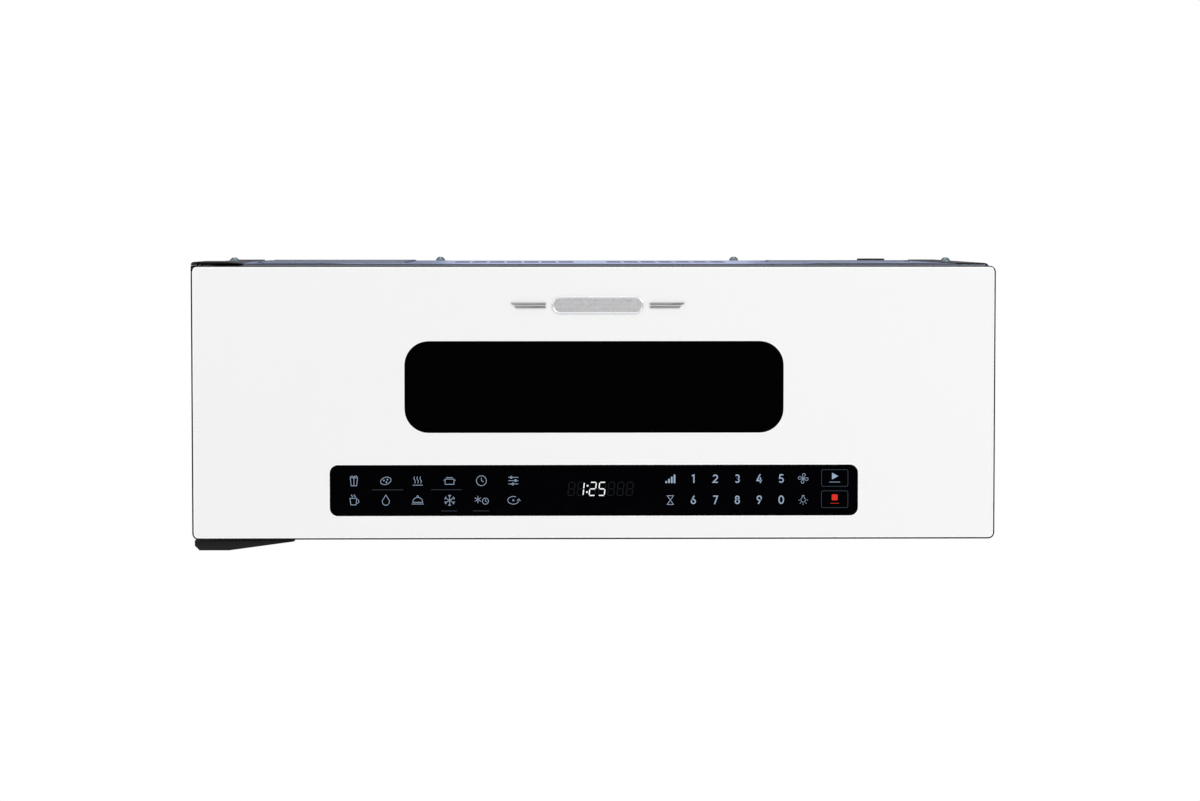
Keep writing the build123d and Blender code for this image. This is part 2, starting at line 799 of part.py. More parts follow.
def hinge_cover_outline(wall):
    """Cross-section of the cover, drawn in X and Z, thinned by wall on every side but the top."""
    left = -half_width + hinge_cover_inset + wall
    right = left + hinge_cover_width - hinge_cover_taper * wall
    bottom = -hinge_cover_height + wall
    corner = left + hinge_cover_chamfer
    slope = corner + hinge_cover_flat
    return make_face(Polyline(
        (left, wall), (left, bottom + hinge_cover_chamfer), (corner, bottom), (slope, bottom),
        (right, wall - sheet), (right, wall), close=True))


def lower_hinge_cover():
    """Moulded cover round the lower bracket. Its underside slopes up to the right."""
    front, rear = hinge_cover_span()
    shell = front_slab(hinge_cover_outline(0), front, rear)
    hollow = hinge_cover_outline(hinge_cover_wall)
    shell -= front_slab(hollow, front + hinge_cover_wall, rear - hinge_cover_wall)
    floor = -hinge_cover_height + hinge_cover_wall / 2
    boss_x = hinge_x + hinge_pin_radius + boss_radius
    for x, y in ((boss_x, hinge_y), (boss_x + boss_radius, cabinet_front - boss_radius)):
        shell += rod_z(x, y, floor, -lower_bracket_thickness, boss_radius)
    return shell


def hinge_bushings():
    """Flanged bushes in the door's top and bottom edges, one round each hinge pin."""
    bushes = []
    for face, way in ((door_top, 1), (door_bottom, -1)):
        flange_z0, flange_z1 = sorted((face, face + way * bush_flange))
        body_z0, body_z1 = sorted((face, face - way * bush_length))
        bush = rod_z(hinge_x, hinge_y, flange_z0, flange_z1, bush_radius + bush_flange_width)
        bush += rod_z(hinge_x, hinge_y, body_z0, body_z1, bush_radius)
        bore_z0, bore_z1 = min(flange_z0, body_z0) - cut_through, max(flange_z1, body_z1) + cut_through
        bushes.append(bush - rod_z(hinge_x, hinge_y, bore_z0, bore_z1, hinge_pin_radius + pin_clearance))
    return bushes


# ------------------------------------------------------------------ door shell
def window_outline(grow):
    width, height = window_width + 2 * grow, window_height + 2 * grow
    return centred(0, window_z, width, height, inset_radius(window_corner, grow))


def control_outline(grow):
    width, height = control_width + 2 * grow, control_height + 2 * grow
    return centred(0, control_z, width, height, inset_radius(control_corner, grow))


def door_outline(inset, corner):
    return rounded(-half_width + inset, half_width - inset, door_bottom + inset, door_top - inset, corner)


def door_front_panel():
    """White front with openings for the window and the control glass, its edges rolled over."""
    panel = front_slab(door_outline(front_panel_inset, front_panel_corner), door_front, panel_back)
    for opening in (window_outline(0), control_outline(0)):
        panel -= front_slab(opening, door_front - cut_through, panel_back + cut_through)
    return fillet(panel.faces().sort_by(Axis.Y)[0].edges(), front_panel_edge)


def window_glass():
    return front_slab(window_outline(-glass_clearance), door_front + glass_recess, window_glass_back)


def control_glass():
    return front_slab(control_outline(-glass_clearance), door_front + glass_recess, control_glass_back)


def choke_boss_places():
    """Screw bosses between the frame's face and the choke panel, in X and Z."""
    left, high = -half_width + left_boss_inset, door_top - top_boss_inset
    right = latch_left - right_boss_inset
    top_row = [(x, high) for x in (left, -top_boss_spread, top_boss_spread, right)]
    return [(left, door_bottom + bottom_boss_inset)] + top_row


def control_boss_places():
    """Bosses that carry the corners of the control board, in X and Z."""
    x = control_board_width / 2 - control_boss_inset
    z = control_board_height / 2 - control_board_boss / 2
    return [(side * x, control_z + up * z) for side in (-1, 1) for up in (-1, 1)]


def guide_heights():
    """Latch bar guides, half way between its arms."""
    return [(low + high) / 2 for low, high in zip(latch_heights, latch_heights[1:])]


def door_frame():
    """Moulded frame that carries the front panel, the panes, the choke panel and the hinge bushes."""
    frame = front_slab(door_outline(0, door_corner), panel_back, frame_rear)
    frame -= front_slab(door_outline(frame_wall, door_corner / 2), face_back, frame_rear + cut_through)
    face = face_back - frame_face / 2
    for x, z in choke_boss_places():
        frame += rod_y(x, z, face, choke_front, boss_radius)
    tunnel = window_outline(-pane_ledge + tunnel_wall)
    frame += front_slab(tunnel, face, choke_front)
    frame -= front_slab(window_outline(-pane_ledge), panel_back - cut_through, choke_front + cut_through)
    frame -= front_slab(window_outline(-glass_clearance), panel_back - cut_through, window_glass_back)
    frame -= front_slab(control_outline(-glass_clearance), panel_back - cut_through, control_glass_back)
    frame -= front_slab(control_outline(-pane_ledge), panel_back - cut_through, face_back + cut_through)
    for x, z in control_boss_places():
        frame += rod_y(x, z, face, control_board_front, control_board_boss)
    frame = with_hinge_bosses(frame)
    frame = with_latch_guides(frame, face)
    outer = (grip_left - grip_wall, grip_right + grip_wall, grip_front - grip_wall, grip_back + grip_wall)
    frame += block(*outer, door_bottom + frame_wall / 2, door_bottom + grip_height + grip_wall)
    hollow = (grip_left, grip_right, grip_front, grip_back)
    return frame - block(*hollow, door_bottom - cut_through, door_bottom + grip_height)


def with_hinge_bosses(frame):
    for face, way in ((door_top, -1), (door_bottom, 1)):
        boss_z0, boss_z1 = sorted((face + way * frame_wall / 2, face + way * (bush_length + frame_wall)))
        bore_z0, bore_z1 = sorted((face - way * cut_through, face + way * bush_length))
        frame += rod_z(hinge_x, hinge_y, boss_z0, boss_z1, bush_radius + frame_wall)
        frame -= rod_z(hinge_x, hinge_y, bore_z0, bore_z1, bush_radius + pin_clearance / 2)
    return frame


def with_latch_guides(frame, face):
    """Adds the pads that the latch bar slides on and the post under its spring."""
    pad_back = latch_bar_front - running_gap
    for z in guide_heights():
        x0, x1 = latch_left - latch_guide_wall, latch_right + latch_guide_wall
        frame += block(x0, x1, face, pad_back, z - latch_guide_size / 2, z + latch_guide_size / 2)
    return frame + block(latch_left, latch_right, face, choke_front, spring_base - spring_post, spring_base)


def display_module():
    z0, z1 = control_z - display_height / 2, control_z + display_height / 2
    return block(-display_width / 2, display_width / 2, control_glass_back, control_board_front, z0, z1)


def control_board():
    """Circuit board behind the control glass, with a relay, a buzzer and two chips."""
    back = control_board_front + control_board_thickness
    half_w, half_h = control_board_width / 2, control_board_height / 2
    board = block(-half_w, half_w, control_board_front, back, control_z - half_h, control_z + half_h)
    relay = (relay_x, relay_size, relay_height)
    chips = [(x, chip_size, chip_height) for x in (0, -relay_x)]
    for x, size, height in [relay] + chips:
        board += Pos(x, back + height / 2, control_z) * Box(size, height, size)
    return board + rod_y(buzzer_x, control_z, back, back + buzzer_height, buzzer_radius)


# ------------------------------------------------------------------ door back
def choke_outline(inset):
    left, right = -half_width + choke_margin_left + inset, half_width - choke_margin - inset
    low, high = door_bottom + choke_margin + inset, door_top - choke_margin - inset
    return rounded(left, right, low, high, choke_corner)


def less_latch_slots(panel, y0, y1):
    """A panel with slots that let the latch arms through, with room for their lift."""
    for z in latch_heights:
        z0 = z - latch_arm_height / 2 - latch_nose_drop - latch_slot_gap
        z1 = z + latch_arm_height / 2 + latch_lift + latch_slot_gap
        x0, x1 = latch_left - latch_slot_gap, latch_right + latch_slot_gap
        panel -= block(x0, x1, y0 - cut_through, y1 + cut_through, z0, z1)
    return panel


def door_choke_panel():
    """Pressed steel inner panel with the turned-in choke edge."""
    panel = front_slab(choke_outline(sheet), choke_front, cover_front)
    rim = choke_outline(2 * sheet) - choke_outline(3 * sheet)
    panel += front_slab(rim, choke_front - choke_depth, choke_front + sheet / 2)
    return less_latch_slots(panel, choke_front, cover_front)


def inner_glass_outline(grow):
    reach = inner_glass_overlap + grow
    return centred(0, window_z, window_width + 2 * reach, window_height + 2 * reach, window_corner)


def door_inner_glass():
    return front_slab(inner_glass_outline(0), cover_front, cover_front + inner_glass_thickness)


def choke_cover():
    """Moulded cover over the choke, with an opening and a seat for the inner pane."""
    cover = front_slab(choke_outline(0), cover_front, door_back)
    cover -= front_slab(window_outline(0), cover_front - cut_through, door_back + cut_through)
    seat = inner_glass_outline(glass_clearance)
    cover -= front_slab(seat, cover_front - cut_through, cover_front + inner_glass_thickness)
    return less_latch_slots(cover, cover_front, door_back)


# ------------------------------------------------------------------ badge
def badge():
    """Plain oval ring with a flat centre, and two plain lines on each side."""
    z = door_mid + badge_rise
    front = door_front - badge_thickness
    outer = SlotOverall(badge_oval_width, badge_oval_height)
    centre = SlotOverall(badge_oval_width - 2 * badge_ring, badge_oval_height - 2 * badge_ring)
    pieces = [front_slab(Pos(badge_shift, z) * (outer - centre), front, door_front),
              front_slab(Pos(badge_shift, z) * centre, door_front - badge_centre_thickness, door_front)]
    start = badge_oval_width / 2 + badge_line_gap
    for side in (-1, 1):
        for length, step in zip(badge_line_lengths, steps(len(badge_line_lengths), badge_line_pitch)):
            x0, x1 = sorted((badge_shift + side * start, badge_shift + side * (start + length)))
            z0, z1 = z + step - badge_line_height / 2, z + step + badge_line_height / 2
            pieces.append(block(x0, x1, front, door_front, z0, z1))
    return pieces


# ------------------------------------------------------------------ latch
def latch_bar():
    """Sliding bar with an arm at each height. The lowest and highest arms end in hooks."""
    x0, x1 = latch_left, latch_right
    low, high = latch_low - latch_guide_size, latch_high + latch_guide_size
    bar = block(x0, x1, latch_bar_front, latch_bar_back, low, high)
    for z in latch_heights:
        z0, z1 = z - latch_arm_height / 2, z + latch_arm_height / 2
        bar += block(x0, x1, latch_bar_back - latch_bar_depth / 2, latch_end, z0, z1)
    nose_front = frame_back + latch_plate + catch_clearance
    for z in (latch_low, latch_high):
        top = z
        bottom = z - latch_arm_height / 2 - latch_nose_drop
        tip = bottom + latch_nose_drop
        nose = make_face(Polyline(
            (nose_front, top), (nose_front, bottom), (latch_end - latch_nose_slope, bottom),
            (latch_end, tip), (latch_end, top), close=True))
        bar += side_slab(nose, x0, x1)
    return bar


def latch_spring():
    """Tension spring between the post in the door and the latch bar, which it pulls down."""
    height = spring_length - 2 * spring_wire
    coil = Helix(pitch=height / spring_turns, height=height, radius=spring_radius)
    wire = sweep(Plane(origin=coil @ 0, z_dir=coil % 0) * Circle(spring_wire), path=coil)
    return Pos(latch_x, (latch_bar_front + latch_bar_back) / 2, spring_base + spring_wire) * wire


def latch_board():
    """Moulded board behind the front frame. Its windows catch the hooks and it carries the switches."""
    left, right = latch_bay_left - latch_board_wall, latch_bay_right + latch_board_wall
    low = shelf_top
    high = latch_high + latch_board_margin + switch_height / 2
    plate_back = frame_back + latch_plate
    board = block(left, right, frame_back, plate_back, low, high)
    board += block(left, latch_bay_left, frame_back, latch_board_rear, low, high)
    board += block(latch_bay_right, right, frame_back, latch_board_rear, low, high)
    board += block(left, right, switch_back, latch_board_rear, low, high)
    for z in latch_heights:
        z0 = z - latch_arm_height / 2 - latch_window_gap
        z1 = z + latch_arm_height / 2 + latch_lift + latch_window_gap
        y0, y1 = frame_back - cut_through, plate_back + cut_through
        board -= block(latch_bay_left, latch_bay_right, y0, y1, z0, z1)
    return board


def interlock_switches():
    """Microswitch bodies, each with a bore for its plunger."""
    bore_front, bore_end = switch_front - cut_through, switch_front + switch_depth / 2 + plunger_travel
    bore_radius = plunger_radius + pin_clearance
    bodies = []
    for z in latch_heights:
        z0, z1 = z - switch_height / 2, z + switch_height / 2
        body = block(latch_bay_left, latch_bay_right, switch_front, switch_back, z0, z1)
        bodies.append(body - rod_y(latch_x, z, bore_front, bore_end, bore_radius))
    return bodies


def switch_plunger(z):
    end = switch_front + switch_depth / 2 - running_gap
    return rod_y(latch_x, z, latch_end + running_gap, end, plunger_radius)


# ------------------------------------------------------------------ oven cavity
def cavity_outline(grow):
    left, right = cavity_left - grow, cavity_right + grow
    return rounded(left, right, cavity_floor - grow, cavity_ceiling + grow, cavity_corner + grow)


def oven_cavity():
    """Welded box, open at the front, with its flange behind the front frame."""
    shell = front_slab(cavity_outline(sheet), frame_back, cavity_rear + sheet)
    shell += front_slab(cavity_outline(cavity_flange), frame_back, frame_back + sheet)
    shell -= front_slab(cavity_outline(0), frame_back - cut_through, cavity_rear)
    floor_z0, floor_z1 = cavity_floor - sheet - cut_through, cavity_floor + cut_through
    shell -= rod_z(turntable_x, turntable_y, floor_z0, floor_z1, floor_hole_radius)
    x0, x1 = cavity_right - cut_through, bay_left + cut_through
    y0, y1 = magnetron_y - port_width / 2, magnetron_y + port_width / 2
    shell -= block(x0, x1, y0, y1, magnetron_z - port_height / 2, magnetron_z + port_height / 2)
    for dy in steps(perforation_columns, lamp_perforation_pitch):
        for dz in steps(perforation_rows, lamp_perforation_pitch):
            shell -= rod_x(lamp_y + dy, lamp_z + dz, x0, x1, lamp_perforation_radius)
    steam_x0, steam_x1 = cavity_left - sheet - cut_through, cavity_left + cut_through
    steam_z = cavity_mid_z + steam_rise
    for dy in steps(steam_columns, perforation_pitch):
        for dz in steps(perforation_rows, perforation_pitch):
            shell -= rod_x(turntable_y + dy, steam_z + dz, steam_x0, steam_x1, perforation_radius)
    return shell


def waveguide():
    """Duct that leads the antenna's waves to the cavity's port. It is open towards the cavity wall."""
    right = bay_left + waveguide_depth
    y0, y1 = magnetron_y - waveguide_length / 2, magnetron_y + waveguide_length / 2
    z0, z1 = magnetron_z - waveguide_height / 2, magnetron_z + waveguide_height / 2
    duct = block(bay_left, right, y0, y1, z0, z1)
    duct -= block(bay_left - cut_through, right - sheet, y0 + sheet, y1 - sheet, z0 + sheet, z1 - sheet)
    return duct - rod_x(magnetron_y, magnetron_z, bay_left, right + cut_through, waveguide_mouth)


def waveguide_cover():
    """Sheet over the port on the cavity's right wall."""
    half_length, half_height = port_width / 2 + mica_overlap, port_height / 2 + mica_overlap
    y0, y1 = magnetron_y - half_length, magnetron_y + half_length
    z0, z1 = magnetron_z - half_height, magnetron_z + half_height
    return block(cavity_right - mica_thickness, cavity_right, y0, y1, z0, z1)


def cavity_lamp():
    """Lamp holder on the outside of the cavity wall, with its bulb in a pocket."""
    bulb_x = bay_left + lamp_block_depth / 2
    pocket_end = bulb_x + bulb_radius
    holder = Pos(bulb_x, lamp_y, lamp_z) * Box(lamp_block_depth, lamp_block, lamp_block)
    holder -= rod_x(lamp_y, lamp_z, bay_left - cut_through, pocket_end, bulb_radius + lamp_bore_gap)
    bulb = Pos(bulb_x, lamp_y, lamp_z) * Sphere(bulb_radius)
    return [holder, bulb + rod_x(lamp_y, lamp_z, bulb_x, pocket_end, bulb_radius / 2)]


# ------------------------------------------------------------------ turntable
def turntable_motor():
    """Flat geared motor under the cavity floor, with ears, a plug and a bore for the coupler's shaft."""
    top = cavity_floor - sheet
    ear_half = motor_ear_width / 2
    bottom = top - motor_height
    motor = rod_z(turntable_x, turntable_y, bottom, top, motor_radius)
    x0, x1 = turntable_x - motor_radius - motor_ear, turntable_x + motor_radius + motor_ear
    motor += block(x0, x1, turntable_y - ear_half, turntable_y + ear_half, top - sheet, top)
    plug_y0 = turntable_y + motor_radius - drive_shaft_radius
    plug_y1 = plug_y0 + motor_plug_length
    plug_x0, plug_x1 = turntable_x - ear_half, turntable_x + ear_half
    motor += block(plug_x0, plug_x1, plug_y0, plug_y1, bottom + sheet, top - sheet)
    motor += rod_z(turntable_x, turntable_y, top - sheet, top + motor_boss_height, motor_boss_radius)
    shaft_bottom = coupler_base - drive_shaft_insert - 2 * running_gap
    bore_top = top + motor_boss_height + cut_through
    bore_radius = drive_shaft_radius + pin_clearance
    return motor - rod_z(turntable_x, turntable_y, shaft_bottom, bore_top, bore_radius)


def turntable_coupler():
    """Three-lobed hub on the shaft that turns in the motor."""
    hub = rod_z(turntable_x, turntable_y, coupler_base, glass_under, coupler_hub_radius)
    half = coupler_lobe_width / 2
    lobe = block(0, coupler_radius, -half, half, coupler_base, glass_under)
    for i in range(coupler_lobes):
        hub += Pos(turntable_x, turntable_y, 0) * Rot(0, 0, i * 360 / coupler_lobes) * lobe
    shaft_bottom, shaft_top = coupler_base - drive_shaft_insert, coupler_base + cut_through
    return hub + rod_z(turntable_x, turntable_y, shaft_bottom, shaft_top, drive_shaft_radius)


def glass_turntable():
    """Glass tray with a raised rim, and three lugs under it that sit between the coupler's lobes."""
    radius, top = turntable_radius, turntable_rim
    foot = radius - turntable_slope
    rim_low = top - turntable_lip
    section = make_face(Polyline(
        (0, 0), (foot, 0), (radius, rim_low), (radius, top), (radius - turntable_lip, top),
        (foot - turntable_lip / 2, turntable_thickness), (0, turntable_thickness), close=True))
    tray = Pos(turntable_x, turntable_y, glass_under) * revolve(Plane.XZ * section, axis=Axis.Z)
    for i in range(coupler_lobes):
        angle = radians((i + 0.5) * 360 / coupler_lobes)
        x, y = turntable_x + coupler_radius * cos(angle), turntable_y + coupler_radius * sin(angle)
        tray += rod_z(x, y, glass_under - lug_height, glass_under + cut_through, lug_radius)
    return tray


def roller_angles():
    return [90 + i * 360 / roller_count for i in range(roller_count)]


def at_roller(angle, shape):
    """Moves a shape drawn along +X from the turntable's axis to one roller's direction."""
    return Pos(turntable_x, turntable_y, axle_z) * Rot(0, 0, angle) * shape


def roller_ring():
    """Ring with a radial axle for each roller."""
    outer = roller_circle - roller_width / 2 - running_gap
    inner = outer - ring_bar
    ring = Pos(turntable_x, turntable_y) * (Circle(outer) - Circle(inner))
    body = flat_slab(ring, axle_z - ring_height / 2, axle_z + ring_height / 2)
    tip = roller_circle + roller_width / 2 + running_gap
    axle = rod_x(0, 0, outer - ring_bar / 2, tip + axle_stub_length, roller_axle_radius)
    axle += rod_x(0, 0, tip, tip + axle_stub_length, axle_stub_radius)
    for angle in roller_angles():
        body += at_roller(angle, axle)
    return body


def roller_wheel(angle):
    x0, x1 = roller_circle - roller_width / 2, roller_circle + roller_width / 2
    bore = rod_x(0, 0, x0 - cut_through, x1 + cut_through, roller_axle_radius + pin_clearance)
    return at_roller(angle, rod_x(0, 0, x0, x1, roller_radius) - bore)


# ------------------------------------------------------------------ base fittings
def grease_filter(side):
    """Framed mesh filter that sits in the base pan from below, with a pull tab."""
    width, length = filter_width - 2 * filter_clearance, filter_length - 2 * filter_clearance
    bottom = filter_seat - filter_thickness
    middle = Pos(side * filter_mid_x, filter_y)
    pocket = middle * Rectangle(width - 2 * filter_ledge, length - 2 * filter_ledge)
    frame = flat_slab(middle * Rectangle(width, length), bottom, filter_seat)
    frame -= flat_slab(pocket, bottom, bottom + filter_recess)
    tab = middle * Pos(0, -length / 2 + filter_pull_radius + cut_through) * Circle(filter_pull_radius)
    return frame + flat_slab(tab, bottom - filter_pull_height, bottom + 2 * filter_recess)


def charcoal_filters():
    """Pads that lie on the filter collars inside the cabinet."""
    z = base_top + filter_collar + charcoal_thickness / 2
    pad = Box(filter_width - 2 * sheet, filter_length - 2 * sheet, charcoal_thickness)
    return [Pos(side * filter_mid_x, filter_y, z) * pad for side in (-1, 1)]


def lamp_lenses():
    """Lenses dropped into the base from above, on a lip."""
    lenses = []
    for side in (-1, 1):
        middle = Pos(side * lens_x, lens_y)
        lip = middle * Rectangle(lens_width + 2 * lens_lip, lens_length + 2 * lens_lip)
        body = middle * Rectangle(lens_width - 2 * lens_clearance, lens_length - 2 * lens_clearance)
        lens = flat_slab(lip, base_top, base_top + lens_thickness)
        lenses.append(lens + flat_slab(body, base_top - lens_drop, base_top + lens_thickness / 2))
    return lenses


def cooktop_lamps():
    """Lamp housings over the lenses, open downwards, each with a row of diodes inside."""
    z0 = base_top + lens_thickness
    z1 = z0 + lamp_height
    half_w, half_l = lens_width / 2 + lens_lip, lens_length / 2 + lens_lip
    lamps = []
    for side in (-1, 1):
        x, y, wall = side * lens_x, lens_y, lamp_wall
        shell = block(x - half_w, x + half_w, y - half_l, y + half_l, z0, z1)
        inner = (x - half_w + wall, x + half_w - wall, y - half_l + wall, y + half_l - wall)
        shell -= block(*inner, z0 - cut_through, z1 - wall)
        for step in steps(lamp_diodes, lamp_diode_pitch):
            shell += rod_z(x + step, y, z1 - 2 * wall, z1 - wall / 2, lamp_diode_radius)
        lamps.append(shell)
    return lamps


def turntable_motor_cover():
    size = access_size + 2 * access_overlap
    cover = Pos(turntable_x, turntable_y, sheet / 2) * Box(size, size, sheet)
    for x, y in cover_screw_places:
        cover -= screw_hole(x, y, 0, sheet)
    return cover


# ------------------------------------------------------------------ microwave power train
def component_shelf():
    """Shelf on two legs at the right of the cavity. It carries the heavy electrics."""
    front, rear = frame_back + shelf_front_gap, back_inner - shelf_back_gap
    shelf = block(bay_left, inside_half, front, rear, shelf_top - sheet, shelf_top)
    for y0 in (front, rear - sheet):
        shelf += block(bay_left + return_flange, panel_half, y0, y0 + sheet, base_top + sheet, shelf_top)
    return shelf


def magnetron():
    """Yoke with the anode, cooling fins and antenna, and the filter box on its outer end."""
    left = bay_left + waveguide_depth
    right = left + magnetron_width
    wall = magnetron_wall
    y0, y1 = magnetron_y - magnetron_length / 2, magnetron_y + magnetron_length / 2
    z0, z1 = magnetron_z - magnetron_height / 2, magnetron_z + magnetron_height / 2
    yoke = block(left, right, y0, y1, z0, z1)
    yoke -= block(left + wall, right - wall, y0 - cut_through, y1 + cut_through, z0 + wall, z1 - wall)
    yoke += rod_x(magnetron_y, magnetron_z, left + wall / 2, right - wall / 2, anode_radius)
    fin = Box(fin_thickness, magnetron_length - 2 * fin_inset, magnetron_height - wall)
    for step in steps(fin_count, (magnetron_width - 2 * wall) / (fin_count + 1)):
        yoke += Pos((left + right) / 2 + step, magnetron_y, magnetron_z) * fin
    yoke += rod_x(magnetron_y, magnetron_z, left - antenna_length, left + wall / 2, antenna_radius)
    plug_box = Box(filter_box_depth, filter_box_size, filter_box_size)
    return [yoke, Pos(right + filter_box_depth / 2, magnetron_y, magnetron_z) * plug_box]


def hv_transformer():
    """Laminated core with two coils round its middle leg, on a foot plate."""
    x1 = latch_bay_left - latch_board_wall - transformer_gap - transformer_foot
    x0 = x1 - transformer_width
    middle_x, middle_y = (x0 + x1) / 2, transformer_y
    y0, y1 = middle_y - transformer_length / 2, middle_y + transformer_length / 2
    z0, z1 = shelf_top, shelf_top + transformer_height
    core = block(x0, x1, y0 + core_leg / 2, y1 - core_leg / 2, z0, z1)
    middle_z = (z0 + z1) / 2
    window_width = (transformer_width - 3 * core_leg) / 2
    window = Box(window_width, transformer_length, transformer_height - 2 * core_leg)
    for side in (-1, 1):
        core -= Pos(middle_x + side * (core_leg + window_width) / 2, middle_y, middle_z) * window
    coil_width = transformer_width - 2 * core_leg - 2 * coil_gap
    coil = RectangleRounded(coil_width, transformer_length, coil_corner)
    leg = Rectangle(core_leg + 2 * coil_gap, transformer_length - core_leg + 2 * coil_gap)
    ring = Pos(middle_x, middle_y) * (coil - leg)
    lower = flat_slab(ring, z0 + core_leg + coil_gap, middle_z - coil_gap)
    upper = flat_slab(ring, middle_z + coil_gap, z1 - core_leg - coil_gap)
    foot_x0, foot_x1 = x0 - transformer_foot, x1 + transformer_foot
    foot_y0, foot_y1 = y0 + core_leg, y1 - core_leg
    core += block(foot_x0, foot_x1, foot_y0, foot_y1, z0, z0 + transformer_foot_thickness)
    return [core, lower, upper]


def hv_capacitor():
    """Oval can lying behind the latch board, with its two terminals at the rear."""
    x1 = inside_half - capacitor_side_gap
    x0 = x1 - capacitor_width
    y0 = latch_board_rear + capacitor_side_gap
    y1 = y0 + capacitor_length
    x, z = (x0 + x1) / 2, shelf_top + capacitor_height / 2
    can = front_slab(centred(x, z, capacitor_width, capacitor_height, capacitor_edge), y0, y1)
    can += block(x0 + capacitor_foot_inset, x1 - capacitor_foot_inset, y0, y1, shelf_top, z)
    for step in steps(2, terminal_pitch):
        can += rod_y(x, z + step, y1 - cut_through, y1 + terminal_length, terminal_radius)
    return can


def noise_filter_board():
    """Mains filter on four posts: a choke coil, two block capacitors and a can."""
    x0 = bay_left + component_margin
    x1 = x0 + board_width
    y = cabinet_back - board_from_back
    y0, y1 = y - board_length / 2, y + board_length / 2
    z0 = shelf_top + board_standoff
    top = z0 + board_thickness
    board = block(x0, x1, y0, y1, z0, top)
    for post_x in (x0 + board_post_inset, x1 - board_post_inset):
        for post_y in (y0 + board_post_inset, y1 - board_post_inset):
            board += rod_z(post_x, post_y, shelf_top, z0 + board_thickness / 2, board_post_radius)
    board += rod_z(x0 + 2 * choke_coil_radius, y, top, top + choke_coil_height, choke_coil_radius)
    part = Box(board_part_width, board_part_length, board_part_height)
    for i in range(2):
        part_x = x1 - board_part_width - i * board_part_pitch
        board += Pos(part_x, y0 + board_part_length, top + board_part_height / 2) * part
    can_x, can_y = x1 - 3 * board_can_radius, y1 - 2 * board_can_radius
    return board + rod_z(can_x, can_y, top, top + board_can_height, board_can_radius)


def fan_shroud():
    """Plate standing on the shelf, with a ring round the fan."""
    y0, y1 = fan_plate_y - sheet, fan_plate_y
    half = bay_width / 2 - fan_side_margin
    plate_top = fan_z + fan_ring_radius + fan_plate_margin
    plate = block(bay_mid_x - half, bay_mid_x + half, y0, y1, shelf_top, plate_top)
    ring = Pos(bay_mid_x, fan_z) * (Circle(fan_ring_radius + fan_ring_wall) - Circle(fan_ring_radius))
    front = y0 - fan_gap - fan_depth
    duct = front_slab(ring, front, y0 + sheet / 2)
    return plate + duct - rod_y(bay_mid_x, fan_z, front - cut_through, y1 + cut_through, fan_ring_radius)


def fan_motor():
    """Motor on an upright arm across the shroud, with a bore for the fan's shaft."""
    reach = fan_ring_radius + fan_plate_margin
    arm_back = fan_plate_y + fan_arm_depth
    body_depth = fan_motor_depth + fan_arm_depth / 2
    arm = Box(fan_arm, fan_arm_depth, 2 * reach)
    body = Box(fan_motor_size, body_depth, fan_motor_size)
    motor = Pos(bay_mid_x, fan_plate_y + fan_arm_depth / 2, fan_z) * arm
    motor += Pos(bay_mid_x, fan_motor_end - body_depth / 2, fan_z) * body
    bore_end = arm_back + fan_motor_depth / 2 + running_gap
    bore_radius = fan_shaft_radius + pin_clearance
    return motor - rod_y(bay_mid_x, fan_z, fan_plate_y - cut_through, bore_end, bore_radius)


def cooling_fan():
    """Axial fan: a hub on its shaft with pitched blades."""
    y1 = fan_plate_y - sheet - fan_gap
    y0 = y1 - fan_depth
    fan = rod_y(bay_mid_x, fan_z, y0, y1, fan_hub_radius)
    trim = rod_y(bay_mid_x, fan_z, y0, y1, fan_radius)
    x0, x1 = fan_hub_radius / 2, fan_radius + cut_through
    flat = Pos((x0 + x1) / 2, 0, 0) * Box(x1 - x0, fan_blade_thickness, fan_blade_chord)
    for i in range(fan_blades):
        blade = Rot(0, i * 360 / fan_blades, 0) * Rot(fan_blade_pitch, 0, 0) * flat
        fan += (Pos(bay_mid_x, (y0 + y1) / 2, fan_z) * blade) & trim
    shaft_end = fan_plate_y + fan_arm_depth + fan_motor_depth / 2
    return fan + rod_y(bay_mid_x, fan_z, y1 - cut_through, shaft_end, fan_shaft_radius)


# ------------------------------------------------------------------ ventilation
def casing_outline(grow):
    """Round casing of a blower wheel with a throat up to the duct, drawn in Y and Z."""
    radius = wheel_space + grow
    throat_middle = Pos(blower_axis_y - radius / 2, blower_axis_z + blower_axis_drop / 2)
    throat = throat_middle * Rectangle(radius, blower_axis_drop)
    return Pos(blower_axis_y, blower_axis_z) * Circle(radius) + throat


def casing_span(side, inset):
    """Left and right of one blower casing, inset by a wall or not."""
    near = wheel_inner_x - wheel_gap - scroll_wall + inset
    far = wheel_inner_x + wheel_length + wheel_gap + scroll_wall - inset
    return sorted((side * near, side * far))


def less_throats(shape):
    """A shape with both throats cut through the duct's floor."""
    y0, y1 = blower_axis_y - wheel_space, blower_axis_y - scroll_wall
    for side in (-1, 1):
        x0, x1 = casing_span(side, scroll_wall)
        shape -= block(x0, x1, y0, y1, duct_floor - 2 * sheet, duct_floor_top + cut_through)
    return shape


def blower_housing():
    cases = []
    for side in (-1, 1):
        x0, x1 = casing_span(side, 0)
        case = side_slab(casing_outline(scroll_wall), x0, x1)
        case -= side_slab(casing_outline(0), *casing_span(side, scroll_wall))
        case -= rod_x(blower_axis_y, blower_axis_z, x0 - cut_through, x1 + cut_through, scroll_inlet_radius)
        cases.append(less_throats(case))
    return cases


def exhaust_duct():
    """Sheet duct from the blower outlets to the exhaust slots. The top panel closes it."""
    half = duct_half_width
    duct = block(-half, half, duct_front_y, duct_back, duct_floor, top_under)
    duct -= block(-half + sheet, half - sheet, duct_front_y + sheet, duct_back - sheet, duct_floor_top,
                  top_under + cut_through)
    return less_throats(duct)


